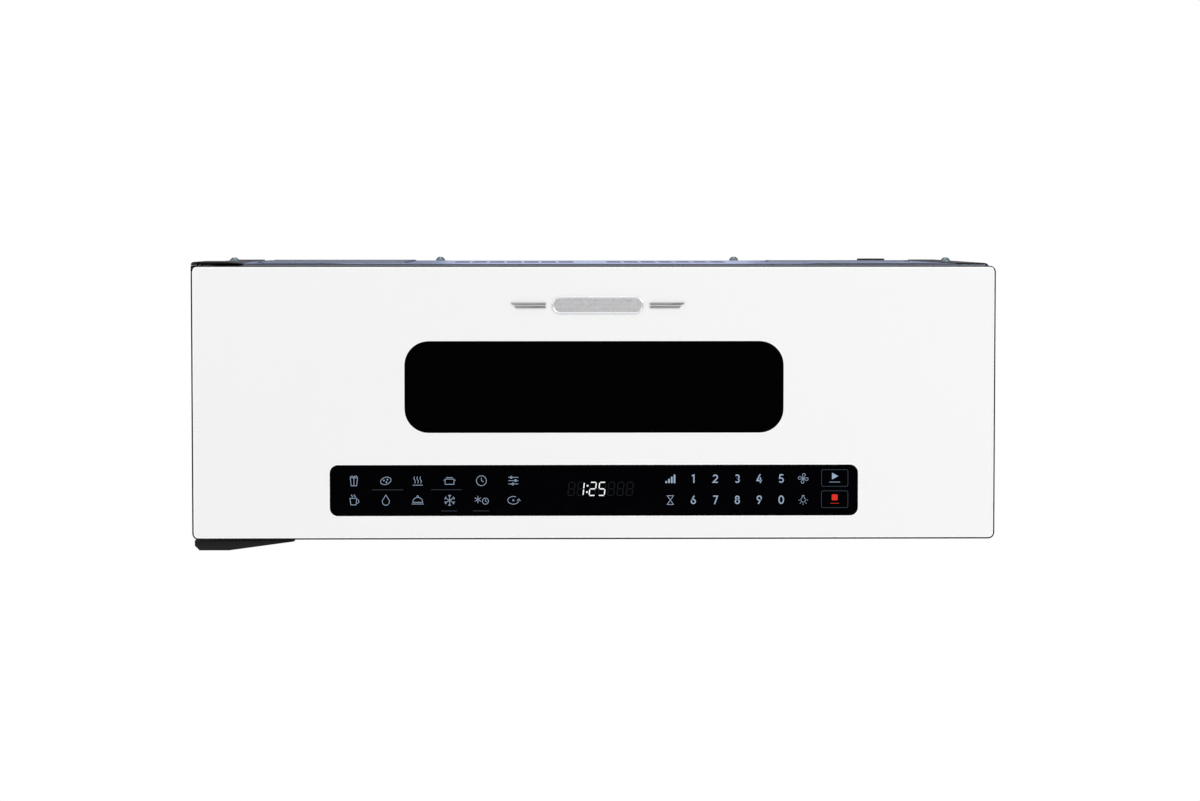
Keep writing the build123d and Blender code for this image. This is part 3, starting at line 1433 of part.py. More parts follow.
def blower_motor():
    """Motor between the two wheels, hung from the duct by a block."""
    half, arm = blower_motor_length / 2, blower_bracket / 2
    motor = rod_x(blower_axis_y, blower_axis_z, -half, half, blower_motor_radius)
    motor += block(-arm, arm, blower_axis_y - arm, blower_axis_y + arm, blower_axis_z, duct_floor)
    bore = blower_shaft_radius + pin_clearance
    return motor - rod_x(blower_axis_y, blower_axis_z, -half - cut_through, half + cut_through, bore)


def blower_shaft():
    reach = wheel_inner_x + wheel_length / 2
    return rod_x(blower_axis_y, blower_axis_z, -reach, reach, blower_shaft_radius)


def blower_wheels():
    """Two squirrel-cage wheels, each with a hub plate, an end ring and blades."""
    wheels = []
    x0, x1 = wheel_inner_x, wheel_inner_x + wheel_length
    for side in (-1, 1):
        wheel = rod_x(0, 0, x0, x0 + wheel_plate, wheel_radius)
        wheel += rod_x(0, 0, x0, x0 + wheel_hub_length, wheel_hub_radius)
        ring = rod_x(0, 0, x1 - wheel_plate, x1, wheel_radius)
        wheel += ring - rod_x(0, 0, x0, x1 + cut_through, wheel_radius - wheel_blade_depth)
        half = wheel_blade_thickness / 2
        blade_z0 = wheel_radius - wheel_blade_depth + wheel_blade_inset
        blade_z1 = wheel_radius - wheel_blade_inset
        blade = block(x0 + wheel_plate / 2, x1 - wheel_plate / 2, -half, half, blade_z0, blade_z1)
        for i in range(wheel_blades):
            wheel += Rot(i * 360 / wheel_blades, 0, 0) * blade
        wheel -= rod_x(0, 0, x0 - cut_through, x1, blower_shaft_radius)
        wheel = wheel if side > 0 else mirror(wheel, about=Plane.YZ)
        wheels.append(Pos(0, blower_axis_y, blower_axis_z) * wheel)
    return wheels


# ------------------------------------------------------------------ small parts
def cord_bushing():
    """Grommet in the top for the mains cord."""
    top, bottom = top_face + bushing_flange, top_face - bushing_depth
    neck_top, neck_radius = top_face + bushing_flange / 2, bushing_hole_radius - bushing_fit
    body = rod_z(bushing_x, bushing_y, top_face, top, bushing_hole_radius + bushing_rim)
    body += rod_z(bushing_x, bushing_y, bottom, neck_top, neck_radius)
    bore_bottom, bore_top = bottom - cut_through, top + cut_through
    return body - rod_z(bushing_x, bushing_y, bore_bottom, bore_top, bushing_bore_radius)


def cabinet_screws():
    screws = [dome_screw(x, y, cabinet_height) for x, y in top_screw_places]
    screws += [dome_screw(x, y, top_face) for x, y in rear_screw_places]
    for x, y in bracket_screw_places:
        screw = flush_screw(x, y, cabinet_height + upper_bracket_thickness)
        for turn in (0, 90):
            cross = Box(screw_head_radius, screw_cross, upper_bracket_thickness)
            screw -= Pos(x, y, cabinet_height + upper_bracket_thickness) * Rot(0, 0, turn) * cross
        screws.append(screw)
    screws += [dome_screw(x, y, -lower_bracket_thickness, up=-1) for x, y in bracket_screw_places]
    screws += [dome_screw(x, y, 0, up=-1) for x, y in cover_screw_places]
    return screws


# ------------------------------------------------------------------ the parts and their files
def all_parts():
    """Every node by name. A node is a shape or a list of separate solids."""
    plunger_names = ("lower", "middle", "upper")
    parts = {
        "side_panel_left": side_panel(-1),
        "side_panel_right": side_panel(1),
        "top_panel": top_panel(),
        "base_pan": base_pan(),
        "back_panel": back_panel(),
        "front_frame": front_frame(),
        "wall_plate": wall_plate(),
        "upper_hinge_bracket": upper_hinge_bracket(),
        "lower_hinge_bracket": lower_hinge_bracket(),
        "lower_hinge_cover": lower_hinge_cover(),
        "cabinet_screws": cabinet_screws(),
        "cord_bushing": cord_bushing(),
        "oven_cavity": oven_cavity(),
        "waveguide": waveguide(),
        "waveguide_cover": waveguide_cover(),
        "cavity_lamp": cavity_lamp(),
        "component_shelf": component_shelf(),
        "magnetron": magnetron(),
        "hv_transformer": hv_transformer(),
        "hv_capacitor": hv_capacitor(),
        "noise_filter_board": noise_filter_board(),
        "fan_shroud": fan_shroud(),
        "fan_motor": fan_motor(),
        "cooling_fan": cooling_fan(),
        "exhaust_duct": exhaust_duct(),
        "blower_housing": blower_housing(),
        "blower_motor": blower_motor(),
        "blower_shaft": blower_shaft(),
        "blower_wheels": blower_wheels(),
        "grease_filter_left": grease_filter(-1),
        "grease_filter_right": grease_filter(1),
        "charcoal_filters": charcoal_filters(),
        "lamp_lenses": lamp_lenses(),
        "cooktop_lamps": cooktop_lamps(),
        "turntable_motor": turntable_motor(),
        "turntable_motor_cover": turntable_motor_cover(),
        "turntable_coupler": turntable_coupler(),
        "glass_turntable": glass_turntable(),
        "roller_ring": roller_ring(),
        "latch_board": latch_board(),
        "interlock_switches": interlock_switches(),
        "door_front_panel": door_front_panel(),
        "window_glass": window_glass(),
        "control_glass": control_glass(),
        "display_module": display_module(),
        "control_board": control_board(),
        "door_frame": door_frame(),
        "door_choke_panel": door_choke_panel(),
        "door_inner_glass": door_inner_glass(),
        "choke_cover": choke_cover(),
        "hinge_bushings": hinge_bushings(),
        "badge": badge(),
        "latch_bar": latch_bar(),
        "latch_spring": latch_spring(),
    }
    for name, z in zip(plunger_names, latch_heights):
        parts[f"{name}_switch_plunger"] = switch_plunger(z)
    for i, angle in enumerate(roller_angles(), 1):
        parts[f"roller_wheel_{i}"] = roller_wheel(angle)
    return parts


def solids_of(shape):
    """The separate solids of a shape or of a list of shapes."""
    shapes = shape if isinstance(shape, list) else [shape]
    return [solid for one in shapes for solid in one.solids()]


def write_parts():
    os.makedirs("parts", exist_ok=True)
    for name, shape in all_parts().items():
        export_step(Compound(children=solids_of(shape)), f"parts/{name}.step")


write_parts()
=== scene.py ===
"""Looks of a low-profile over-the-range microwave oven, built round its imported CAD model.

The frame is the CAD's: X to the right as seen from the front, Y towards the wall, Z up. The door faces
-Y. The object's pieces are drawn in millimetres and scaled by MM. The studio is in metres.
"""

import json
from math import cos, pi, radians, sin

import bmesh
import bpy
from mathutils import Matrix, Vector


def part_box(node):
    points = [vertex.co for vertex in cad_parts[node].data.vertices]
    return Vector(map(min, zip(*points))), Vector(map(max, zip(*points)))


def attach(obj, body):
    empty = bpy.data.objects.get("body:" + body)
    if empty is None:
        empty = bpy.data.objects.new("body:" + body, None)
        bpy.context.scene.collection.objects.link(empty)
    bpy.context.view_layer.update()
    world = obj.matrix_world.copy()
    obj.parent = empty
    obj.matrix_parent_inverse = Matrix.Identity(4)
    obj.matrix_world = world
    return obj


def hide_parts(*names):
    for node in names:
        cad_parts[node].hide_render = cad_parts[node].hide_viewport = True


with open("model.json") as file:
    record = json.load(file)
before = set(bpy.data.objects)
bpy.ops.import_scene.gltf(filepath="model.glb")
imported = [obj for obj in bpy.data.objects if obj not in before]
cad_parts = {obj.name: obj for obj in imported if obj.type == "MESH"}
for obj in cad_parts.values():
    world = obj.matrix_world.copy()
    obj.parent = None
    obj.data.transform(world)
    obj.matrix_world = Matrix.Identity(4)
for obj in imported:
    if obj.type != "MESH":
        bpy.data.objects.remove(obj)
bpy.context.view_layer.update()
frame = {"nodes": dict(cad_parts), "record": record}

MM = 0.001
white = (1.0, 1.0, 1.0)
unstretched = (1.0, 1.0, 1.0)


class Box:
    """A CAD node's box in millimetres."""

    def __init__(self, node):
        self.low, self.high = (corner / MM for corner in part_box(node))
        self.middle = (self.low + self.high) / 2
        self.size = self.high - self.low


# ---- the door and the top, millimetres
panel = Box("door_front_panel")
window = Box("window_glass")
control = Box("control_glass")
door_frame = Box("door_frame")
front_frame = Box("front_frame")
frame_radius = 6.0  # of the door frame's corners
panel_radius = 5.0
window_radius = 22.35
control_radius = 7.25
top_sheet = 1.0  # thickness of the top, which lies on the front frame
top_face = front_frame.high.z + top_sheet


# ---- node trees
flat_turn, sharp_turn = 0.51, 0.60  # pointiness where an edge starts to turn paler, as wear and as a painted highlight, and where it is fully paler


class Tree:
    """Short calls that add shader nodes to a material or a world."""

    def __init__(self, owner):
        owner.use_nodes = True
        self.nodes = owner.node_tree.nodes
        self.links = owner.node_tree.links

    def join(self, value, socket):
        """Links a socket to another, or gives it a number or a colour."""
        if isinstance(value, bpy.types.NodeSocket):
            self.links.new(value, socket)
        elif socket.type == "RGBA":
            socket.default_value = (*value, 1.0)
        else:
            socket.default_value = value

    def add(self, kind, inputs=(), **settings):
        """A node with its settings, and its inputs by name or number."""
        node = self.nodes.new("ShaderNode" + kind)
        for key, value in settings.items():
            setattr(node, key, value)
        for key, value in dict(inputs).items():
            self.join(value, node.inputs[key])
        return node

    def span(self, value, low, high, new_low=0.0, new_high=1.0, **settings):
        """Maps one range of values onto another."""
        limits = {"From Min": low, "From Max": high, "To Min": new_low, "To Max": new_high}
        return self.add("MapRange", {"Value": value, **limits}, **settings).outputs["Result"]

    def math(self, operation, first, second=0.0):
        return self.add("Math", {0: first, 1: second}, operation=operation).outputs["Value"]


class Graph(Tree):
    """One procedural material on a Principled shader."""

    def __init__(self, name, colour, roughness, **inputs):
        self.material = bpy.data.materials.new(name)
        super().__init__(self.material)
        self.shader = self.nodes["Principled BSDF"]
        self.colour = colour
        self.drive(colour, "Base Color")
        self.drive(roughness, "Roughness")
        for key, value in inputs.items():
            self.drive(value, key.replace("_", " "))
        self.place = self.add("TexCoord").outputs["Object"]

    def drive(self, value, socket):
        """Feeds one of the Principled shader's sockets."""
        self.join(value, self.shader.inputs[socket])

    def stretched(self, x=1.0, y=1.0, z=1.0):
        """Object coordinates, scaled."""
        return self.add("Mapping", {"Vector": self.place, "Scale": (x, y, z)}).outputs["Vector"]

    def texture(self, kind, scale, vector=None, **settings):
        return self.add(kind, {"Vector": vector or self.place, "Scale": scale}, **settings)

    def noise(self, scale, detail=2.0, vector=None):
        node = self.texture("TexNoise", scale, vector)
        self.join(detail, node.inputs["Detail"])
        return node.outputs["Fac"]

    def cells(self, scale, vector=None, feature="F1"):
        return self.texture("TexVoronoi", scale, vector, feature=feature).outputs["Distance"]

    def bands(self, scale, direction):
        return self.texture("TexWave", scale, bands_direction=direction).outputs["Fac"]

    def split(self, vector=None):
        return self.add("SeparateXYZ", {"Vector": vector or self.place}).outputs

    def mix(self, factor, first, second):
        inputs = {"Factor": factor, "A": first, "B": second}
        return self.add("Mix", inputs, data_type="RGBA").outputs["Result"]

    def relief(self, height, depth, strength=1.0, normal=None):
        """Bump of a depth in millimetres, on top of another if given."""
        inputs = {"Height": height, "Distance": depth * MM, "Strength": strength}
        if normal:
            inputs["Normal"] = normal
        return self.add("Bump", inputs).outputs["Normal"]

    def paint(self, factor, first, second):
        """Base colour between two colours."""
        self.drive(self.mix(factor, first, second), "Base Color")

    def tone(self, factor, low, high):
        """Base colour between two shades of the material's own."""
        self.paint(factor, shade(self.colour, low), shade(self.colour, high))

    def rough(self, noise, low, high):
        """Roughness that wanders with a noise, most of whose values lie from 0.3 to 0.7."""
        self.drive(self.span(noise, 0.3, 0.7, low, high), "Roughness")

    def bump(self, height, depth, strength=1.0, normal=None):
        self.drive(self.relief(height, depth, strength, normal), "Normal")

    def worn_and_highlit(self, slow, low, high, edge_gain, edge_lift, amount):
        """Base colour that changes slowly, and is paler where the surface turns sharply: partly wear, partly
        a painted highlight on the edges.
        """
        base = self.mix(slow, shade(self.colour, low), shade(self.colour, high))
        # The paler edge colour is partly wear and partly a painted highlight.
        edge = tuple(min(1.0, channel * edge_gain + edge_lift) for channel in self.colour)
        turn = self.span(self.add("NewGeometry").outputs["Pointiness"], flat_turn, sharp_turn)
        self.paint(self.math("MULTIPLY", turn, amount), base, edge)


def shade(colour, factor):
    return tuple(channel * factor for channel in colour)


# ---- materials
def painted(name, colour, grain):
    """Powder paint on steel: orange peel, slow changes of tone, and edges painted paler, partly as rubbing
    and partly as a painted highlight.
    """
    graph = Graph(name, colour, 0.5, Specular_IOR_Level=0.12)
    graph.worn_and_highlit(graph.noise(9.0, 3.0), 0.9, 1.08, 1.6, 0.02, 0.5)
    graph.rough(graph.noise(55.0, 4.0), 0.48, 0.53)
    graph.bump(graph.noise(grain), 0.008)
    return graph.material


def white_enamel(name, colour, coat):
    """Even white gloss enamel with a trace of orange peel."""
    graph = Graph(name, colour, 0.3, Coat_Weight=coat, Coat_Roughness=0.04, Specular_IOR_Level=0.35)
    graph.tone(graph.noise(3.0, 1.0), 0.997, 1.002)
    graph.rough(graph.noise(4.0, 1.0), 0.28, 0.32)
    graph.bump(graph.noise(650.0, 1.0), 0.0012)
    return graph.material


def spangled_zinc():
    """Hot-dip zinc: crystals that each mirror a little differently, and painted shade where the sheet slopes,
    for the darker reflection there.
    """
    cool, warm = (0.45, 0.49, 0.61), (0.57, 0.61, 0.73)
    graph = Graph("spangled_zinc", cool, 0.28, Metallic=1.0, Specular_Tint=(0.46, 0.53, 0.82))
    wander = graph.texture("TexNoise", 70.0).outputs["Color"]
    small = graph.add("VectorMath", {0: wander, "Scale": 0.009}, operation="SCALE").outputs[0]
    bent = graph.add("VectorMath", {0: graph.place, 1: small}, operation="ADD").outputs[0]
    crystal = graph.texture("TexVoronoi", 85.0, bent).outputs
    pick = graph.add("SeparateColor", {"Color": crystal["Color"]}).outputs
    rolled = graph.noise(30.0, 5.0, graph.stretched(1.0, 14.0, 14.0))
    facet = graph.math("ADD", graph.math("MULTIPLY", pick["Red"], 0.7), graph.math("MULTIPLY", rolled, 0.3))
    upright = graph.split(graph.add("NewGeometry").outputs["Normal"])["Z"]
    # Painted shade: the colour goes dark where the normal tilts, standing in for the darker reflection on the
    # pressed beads.
    slope_shade = graph.math("MULTIPLY", graph.span(upright, 0.15, 0.3), graph.span(upright, 0.8, 0.95, 1.0, 0.0))
    graph.paint(slope_shade, graph.mix(facet, cool, warm), shade(cool, 0.2))
    graph.drive(graph.span(pick["Green"], 0.0, 1.0, 0.26, 0.33), "Roughness")
    graph.bump(rolled, 0.01, 0.5, graph.relief(crystal["Distance"], 0.012, 0.4))
    return graph.material


def bright_metal(name, colour, roughness, lines=unstretched, depth=0.004, edge=white):
    """Plated or turned metal with fine marks, stretched along one direction by lines."""
    graph = Graph(name, colour, roughness, Metallic=1.0, Specular_Tint=edge)
    marks = graph.noise(160.0, 6.0, graph.stretched(*lines))
    graph.tone(graph.noise(40.0, 3.0), 0.92, 1.04)
    graph.rough(marks, roughness * 0.7, roughness * 1.5)
    graph.bump(marks, depth)
    return graph.material


def moulded(name, colour, roughness, grain=1400.0, depth=0.02, **inputs):
    """Moulded plastic: spark-eroded grain, flow marks, and edges painted paler, partly as polish and partly
    as a painted highlight.
    """
    graph = Graph(name, colour, roughness, **inputs)
    graph.worn_and_highlit(graph.noise(14.0, 4.0), 0.88, 1.12, 1.5, 0.01, 0.4)
    graph.rough(graph.noise(80.0, 3.0), roughness - 0.06, roughness + 0.07)
    graph.bump(graph.math("ADD", graph.cells(grain), graph.noise(grain * 0.6)), depth, 0.6)
    return graph.material


def speckled_enamel(name, colour, dark_speck, pale_speck):
    """Baked enamel with fine darker and lighter specks under gloss."""
    graph = Graph(name, colour, 0.28, Coat_Weight=0.4, Coat_Roughness=0.06)
    dark = graph.span(graph.cells(520.0), 0.10, 0.16, 1.0, 0.0)
    pale = graph.span(graph.cells(410.0, graph.stretched(1.3, 1.1, 0.9)), 0.08, 0.13, 1.0, 0.0)
    base = graph.mix(graph.math("MULTIPLY", dark, 0.55), colour, dark_speck)
    graph.paint(graph.math("MULTIPLY", pale, 0.5), base, pale_speck)
    graph.rough(graph.noise(60.0, 3.0), 0.22, 0.36)
    graph.bump(graph.noise(300.0), 0.004)
    return graph.material


hole_pitch = 2.0 * MM
hole_radius = 0.72 * MM
screen_inset = 9.0  # millimetres from the window's edge


def screen_holes(graph):
    """A mask of staggered round holes over X and Z: 1 in the metal and 0 in a hole."""
    axes = graph.split()
    distances = []
    for shift in (0.0, 0.5):
        squares = []
        for axis, step in (("X", hole_pitch), ("Z", hole_pitch * 3 ** 0.5)):
            cell = graph.math("FRACT", graph.math("ADD", graph.math("DIVIDE", axes[axis], step), shift))
            offset = graph.math("MULTIPLY", graph.math("SUBTRACT", cell, 0.5), step)
            squares.append(graph.math("POWER", offset, 2.0))
        distances.append(graph.math("SQRT", graph.math("ADD", *squares)))
    return graph.span(graph.math("MINIMUM", *distances), hole_radius * 0.85, hole_radius * 1.1)


def window_pane():
    """Black window glass. A fine screen lies behind it, and shows only close up."""
    graph = Graph("black_window_glass", (0.0, 0.0, 0.0), 0.03, IOR=1.3, Specular_IOR_Level=0.25)
    graph.paint(screen_holes(graph), (0.0, 0.0, 0.0), (0.0014, 0.0014, 0.0016))
    graph.rough(graph.noise(35.0, 3.0), 0.02, 0.05)
    graph.bump(graph.noise(12.0), 0.003)
    return graph.material


def control_pane():
    """Black touch glass, faintly blue, with a slow float of its surface."""
    graph = Graph("touch_glass", (0.0008, 0.0009, 0.0014), 0.04, IOR=1.3, Specular_IOR_Level=0.3)
    graph.paint(graph.noise(16.0, 4.0), (0.0004, 0.0005, 0.0010), (0.0013, 0.0013, 0.0018))
    graph.drive(graph.span(graph.noise(90.0, 4.0), 0.35, 0.65, 0.03, 0.07), "Roughness")
    graph.bump(graph.noise(10.0), 0.003)
    return graph.material


def clear_glass(name, colour, roughness, ripple=0.01, scale=40.0):
    """Clear or tinted glass, rippled to a depth in millimetres."""
    graph = Graph(name, colour, roughness, IOR=1.5, Transmission_Weight=1.0)
    graph.tone(graph.noise(12.0), 0.97, 1.0)
    graph.rough(graph.noise(90.0, 3.0), roughness, roughness + 0.04)
    graph.bump(graph.noise(scale), ripple)
    return graph.material


def frosted_lens():
    """Frosted lamp lens with fine moulded lines."""
    graph = Graph("frosted_lens", (0.93, 0.95, 0.96), 0.35, IOR=1.5, Transmission_Weight=0.75)
    graph.tone(graph.noise(60.0), 0.96, 1.0)
    graph.rough(graph.noise(200.0), 0.28, 0.42)
    graph.bump(graph.bands(155.0, "X"), 0.25, 0.8)
    return graph.material


def choke_sheet():
    """Zinc-coated inner door panel. In the window it is a perforated screen, black in its holes."""
    graph = Graph("perforated_zinc", (0.46, 0.48, 0.54), 0.42, Metallic=1.0)
    axes = graph.split()
    above_middle = graph.math("SUBTRACT", axes["Z"], window.middle.z * MM)
    solid = screen_holes(graph)
    for distance, size in ((axes["X"], window.size.x), (above_middle, window.size.z)):
        outside = graph.math("GREATER_THAN", graph.math("ABSOLUTE", distance), (size / 2 - screen_inset) * MM)
        solid = graph.math("MAXIMUM", solid, outside)
    facets = graph.mix(graph.noise(25.0, 5.0), (0.36, 0.38, 0.44), (0.56, 0.59, 0.66))
    graph.paint(solid, (0.003, 0.003, 0.003), facets)
    graph.rough(graph.noise(60.0, 3.0), 0.36, 0.5)
    graph.bump(solid, 0.2, 0.7)
    return graph.material


def circuit_green():
    """Solder mask over tracks and pads."""
    graph = Graph("circuit_green", (0.03, 0.16, 0.07), 0.35, Coat_Weight=0.3)
    tracks = graph.span(graph.cells(160.0, feature="DISTANCE_TO_EDGE"), 0.04, 0.07, 1.0, 0.0)
    pads = graph.span(graph.cells(330.0), 0.10, 0.14, 1.0, 0.0)
    graph.paint(pads, graph.mix(tracks, (0.022, 0.13, 0.055), (0.05, 0.24, 0.10)), (0.62, 0.60, 0.52))
    graph.bump(tracks, 0.04)
    return graph.material


def laminated_steel():
    """Varnished laminations of a core, half a millimetre each."""
    graph = Graph("varnished_core", (0.20, 0.16, 0.13), 0.4, Metallic=0.5, Coat_Weight=0.4)
    sheets = graph.bands(310.0, "Y")
    graph.tone(graph.noise(30.0, 4.0), 0.6, 1.3)
    graph.drive(graph.span(sheets, 0.0, 1.0, 0.34, 0.5), "Roughness")
    graph.bump(sheets, 0.05)
    return graph.material


def carbon_pad():
    """Pressed charcoal granules."""
    graph = Graph("charcoal_granules", (0.02, 0.02, 0.021), 0.9)
    grains = graph.cells(420.0)
    graph.paint(grains, (0.045, 0.045, 0.047), (0.004, 0.004, 0.004))
    graph.rough(graph.noise(200.0, 3.0), 0.8, 0.98)
    graph.bump(grains, 0.6)
    return graph.material


def mica_sheet():
    """Flaked mica, silvery brown."""
    graph = Graph("pressed_mica", (0.50, 0.42, 0.32), 0.45, Coat_Weight=0.3)
    flakes = graph.cells(240.0, graph.stretched(0.2, 1.0, 1.0))
    graph.paint(flakes, (0.60, 0.52, 0.40), (0.34, 0.27, 0.19))
    graph.drive(graph.span(flakes, 0.0, 0.8, 0.3, 0.6), "Roughness")
    graph.bump(flakes, 0.05)
    return graph.material


def filter_aluminium():
    """Crimped aluminium: layers of expanded mesh seen as a fine net of openings, painted dark as the shade
    inside the filter.
    """
    graph = Graph("layered_mesh", (0.60, 0.62, 0.65), 0.42, Metallic=1.0)
    net = graph.span(graph.cells(330.0, graph.stretched(1.0, 1.7, 1.0), "DISTANCE_TO_EDGE"), 0.05, 0.22)
    deep = graph.span(graph.cells(430.0, graph.stretched(1.6, 1.0, 1.0), "DISTANCE_TO_EDGE"), 0.05, 0.25)
    # Painted shade: the openings of the net are darkened as the inside of the filter would be shaded.
    dark = graph.math("MULTIPLY", net, deep)
    graph.paint(dark, (0.66, 0.68, 0.71), (0.16, 0.165, 0.17))
    graph.rough(graph.noise(120.0, 3.0), 0.3, 0.48)
    graph.bump(graph.math("SUBTRACT", 1.0, dark), 0.5, 0.8)
    return graph.material


def lined_inlay():
    """Satin metal with fine level lines."""
    graph = Graph("lined_satin_inlay", (0.62, 0.62, 0.63), 0.34, Metallic=1.0)
    lines = graph.bands(260.0, "Z")
    graph.tone(lines, 0.8, 1.1)
    graph.rough(graph.noise(200.0), 0.24, 0.36)
    graph.bump(lines, 0.08)
    return graph.material


def printed(name, colour, glow_lit_or_painted=0.0):
    """Ink printed on the touch glass, slightly uneven, with a glow: on a display segment the light of the lit
    display, on the printed inks a painted glow that stands in for light on them.
    """
    graph = Graph(name, colour, 0.5, Emission_Color=colour, Emission_Strength=glow_lit_or_painted, Specular_IOR_Level=0.1)
    graph.tone(graph.noise(900.0), 0.9, 1.05)
    graph.rough(graph.noise(300.0), 0.42, 0.6)
    return graph.material


screw_tint = (0.12, 0.16, 0.18)
natural_white = (0.74, 0.73, 0.69)
cavity_grey, cavity_dark, cavity_pale = (0.72, 0.73, 0.745), (0.34, 0.35, 0.37), (0.90, 0.91, 0.92)
frame_grey, frame_dark, frame_pale = (0.060, 0.062, 0.067), (0.03, 0.03, 0.033), (0.13, 0.135, 0.14)

materials = {
    "black_paint": painted("black_powder_coat", (0.009, 0.009, 0.010), 600.0),
    "base_paint": painted("graphite_base_paint", (0.018, 0.018, 0.020), 520.0),
    "galvanised_steel": spangled_zinc(),
    "cavity_enamel": speckled_enamel("grey_cavity_enamel", cavity_grey, cavity_dark, cavity_pale),
    "black_plastic": moulded("black_moulded_plastic", (0.008, 0.008, 0.009), 0.45, Specular_IOR_Level=0.12),
    "grey_plastic": moulded("grey_moulded_plastic", (0.22, 0.225, 0.235), 0.5),
    "bushing_plastic": moulded("natural_acetal", natural_white, 0.35, 900.0, 0.01, Subsurface_Weight=0.1),
    "screw_steel": bright_metal("dark_zinc", (0.15, 0.19, 0.21), 0.2, (1.0, 1.0, 6.0), edge=screw_tint),
    "mica": mica_sheet(),
    "lamp_white": moulded("lamp_white_plastic", (0.80, 0.80, 0.77), 0.4),
    "aluminium": bright_metal("drawn_aluminium", (0.70, 0.71, 0.73), 0.3, (0.3, 6.0, 6.0), 0.01),
    "transformer_steel": laminated_steel(),
    "circuit_board": circuit_green(),
    "charcoal": carbon_pad(),
    "lens_glass": frosted_lens(),
    "door_white": white_enamel("white_gloss_enamel", (0.928, 0.928, 0.931), 0.35),
    "window_black": window_pane(),
    "control_black": control_pane(),
    "inner_glass": clear_glass("smoked_inner_glass", (0.30, 0.30, 0.32), 0.0),
    "satin": bright_metal("satin_trim", (0.46, 0.46, 0.47), 0.36, (0.2, 4.0, 4.0)),
    "chrome": bright_metal("polished_chrome", (0.84, 0.85, 0.87), 0.07),
    "tray_glass": clear_glass("tray_glass", (0.86, 0.95, 0.93), 0.02, 0.08, 120.0),
    "filter_mesh": filter_aluminium(),
    # Whiter than the door's enamel: a painted highlight along the rolled edges.
    "bead": white_enamel("white_highlight_enamel_edge", white, 0.0),
    "plunger_red": moulded("red_plunger_plastic", (0.52, 0.04, 0.03), 0.3, 900.0, 0.01),
}
# The glow on the key, frame, stop and rule inks is painted light: print that glows though it is no lamp. The
# lit segment is the display's own light.
inks = {
    "key": printed("blue_grey_ink", (0.29, 0.375, 0.50), 0.12),
    "frame": printed("key_frame_ink", (0.036, 0.055, 0.075), 0.10),
    "stop": printed("red_ink", (0.66, 0.025, 0.012), 0.12),
    "rule": printed("dark_rule_ink", (0.030, 0.036, 0.048), 0.10),
    "lit": printed("lit_segment", (0.86, 0.92, 0.91), 0.2),
    "unlit": printed("unlit_segment", (0.0026, 0.0038, 0.0042)),
}
node_looks = {
    "door_choke_panel": choke_sheet(),
    "front_frame": speckled_enamel("dark_frame_enamel", frame_grey, frame_dark, frame_pale),
}


def dress_nodes():
    """Gives every CAD node the procedural material of its slot, or its own."""
    for part in frame["record"]["subparts"]:
        slots = frame["nodes"][part["node"]].data.materials
        slots.clear()
        slots.append(node_looks.get(part["node"], materials[part["material_slot"]]))


# ---- meshes
def skin(mesh, rows, closed=True, looped=False):
    """Quads between each line of vertices and the next, and from the last to the first if looped."""
    following = rows[1:] + rows[:1] if looped else rows[1:]
    for first, second in zip(rows, following):
        count = len(first)
        for i in range(count if closed else count - 1):
            j = (i + 1) % count
            mesh.faces.new((first[i], first[j], second[j], second[i]))


def prism(mesh, outline, levels, place):
    """A closed prism, one outline at two levels, where place(first, second, level) gives a corner."""
    ends = [[mesh.verts.new(place(*point, level)) for point in outline] for level in levels]
    for end in ends:
        mesh.faces.new(end)
    skin(mesh, ends)


def linked(name, data):
    """A new object in the scene."""
    item = bpy.data.objects.new(name, data)
    bpy.context.scene.collection.objects.link(item)
    return item


def finished(mesh, name, body, slot, look=None, smooth=False):
    """Turns a bmesh in millimetres into a piece that rides on a body."""
    bmesh.ops.recalc_face_normals(mesh, faces=mesh.faces)
    bmesh.ops.scale(mesh, vec=(MM, MM, MM), verts=mesh.verts)
    data = bpy.data.meshes.new(name)
    mesh.to_mesh(data)
    mesh.free()
    data.materials.append(look or materials[slot])
    for polygon in data.polygons:
        polygon.use_smooth = smooth
    piece = linked(name, data)
    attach(piece, body)
    return piece


# ---- flat drawing
mitre_limit = 0.4
arc_step = 12  # degrees
fewest_steps = 3


def arc(x, z, radius, start, end, squash=1.0):
    """Points along an arc in degrees, squashed in Z if asked."""
    count = max(fewest_steps, int(abs(end - start) / arc_step))
    angles = [radians(start + (end - start) * i / count) for i in range(count + 1)]
    return [(x + radius * cos(a), z + radius * squash * sin(a)) for a in angles]


def ring(x, z, radius, squash=1.0):
    return arc(x, z, radius, 0, 360, squash)[:-1]


def round_frame(x, z, width, height, radius):
    """Closed outline of a rectangle with round corners."""
    points = []
    for side, up, start in ((1, 1, 0), (-1, 1, 90), (-1, -1, 180), (1, -1, 270)):
        centre = (x + side * (width / 2 - radius), z + up * (height / 2 - radius))
        points += arc(*centre, radius, start, start + 90)
    return points


def moved(points, x=0.0, z=0.0, scale=1.0, turn=0.0):
    """Points scaled, turned by degrees and shifted."""
    c, s = cos(radians(turn)), sin(radians(turn))
    return [(x + scale * (px * c - pz * s), z + scale * (px * s + pz * c)) for px, pz in points]


def edges_of(points, width, closed):
    """Both edges of a line of even width, mitred at its corners."""
    points = [Vector(point) for point in points]
    before, after = points[-1:] + points[:-1], points[1:] + points[:1]
    if not closed:
        before[0] = 2 * points[0] - points[1]
        after[-1] = 2 * points[-1] - points[-2]
    sides = []
    for previous, point, following in zip(before, points, after):
        out = (following - point).normalized()
        along = ((point - previous).normalized() + out).normalized()
        side = Vector((-along.y, along.x)) * width / 2 / max(mitre_limit, along.dot(out))
        sides.append((point + side, point - side))
    return sides


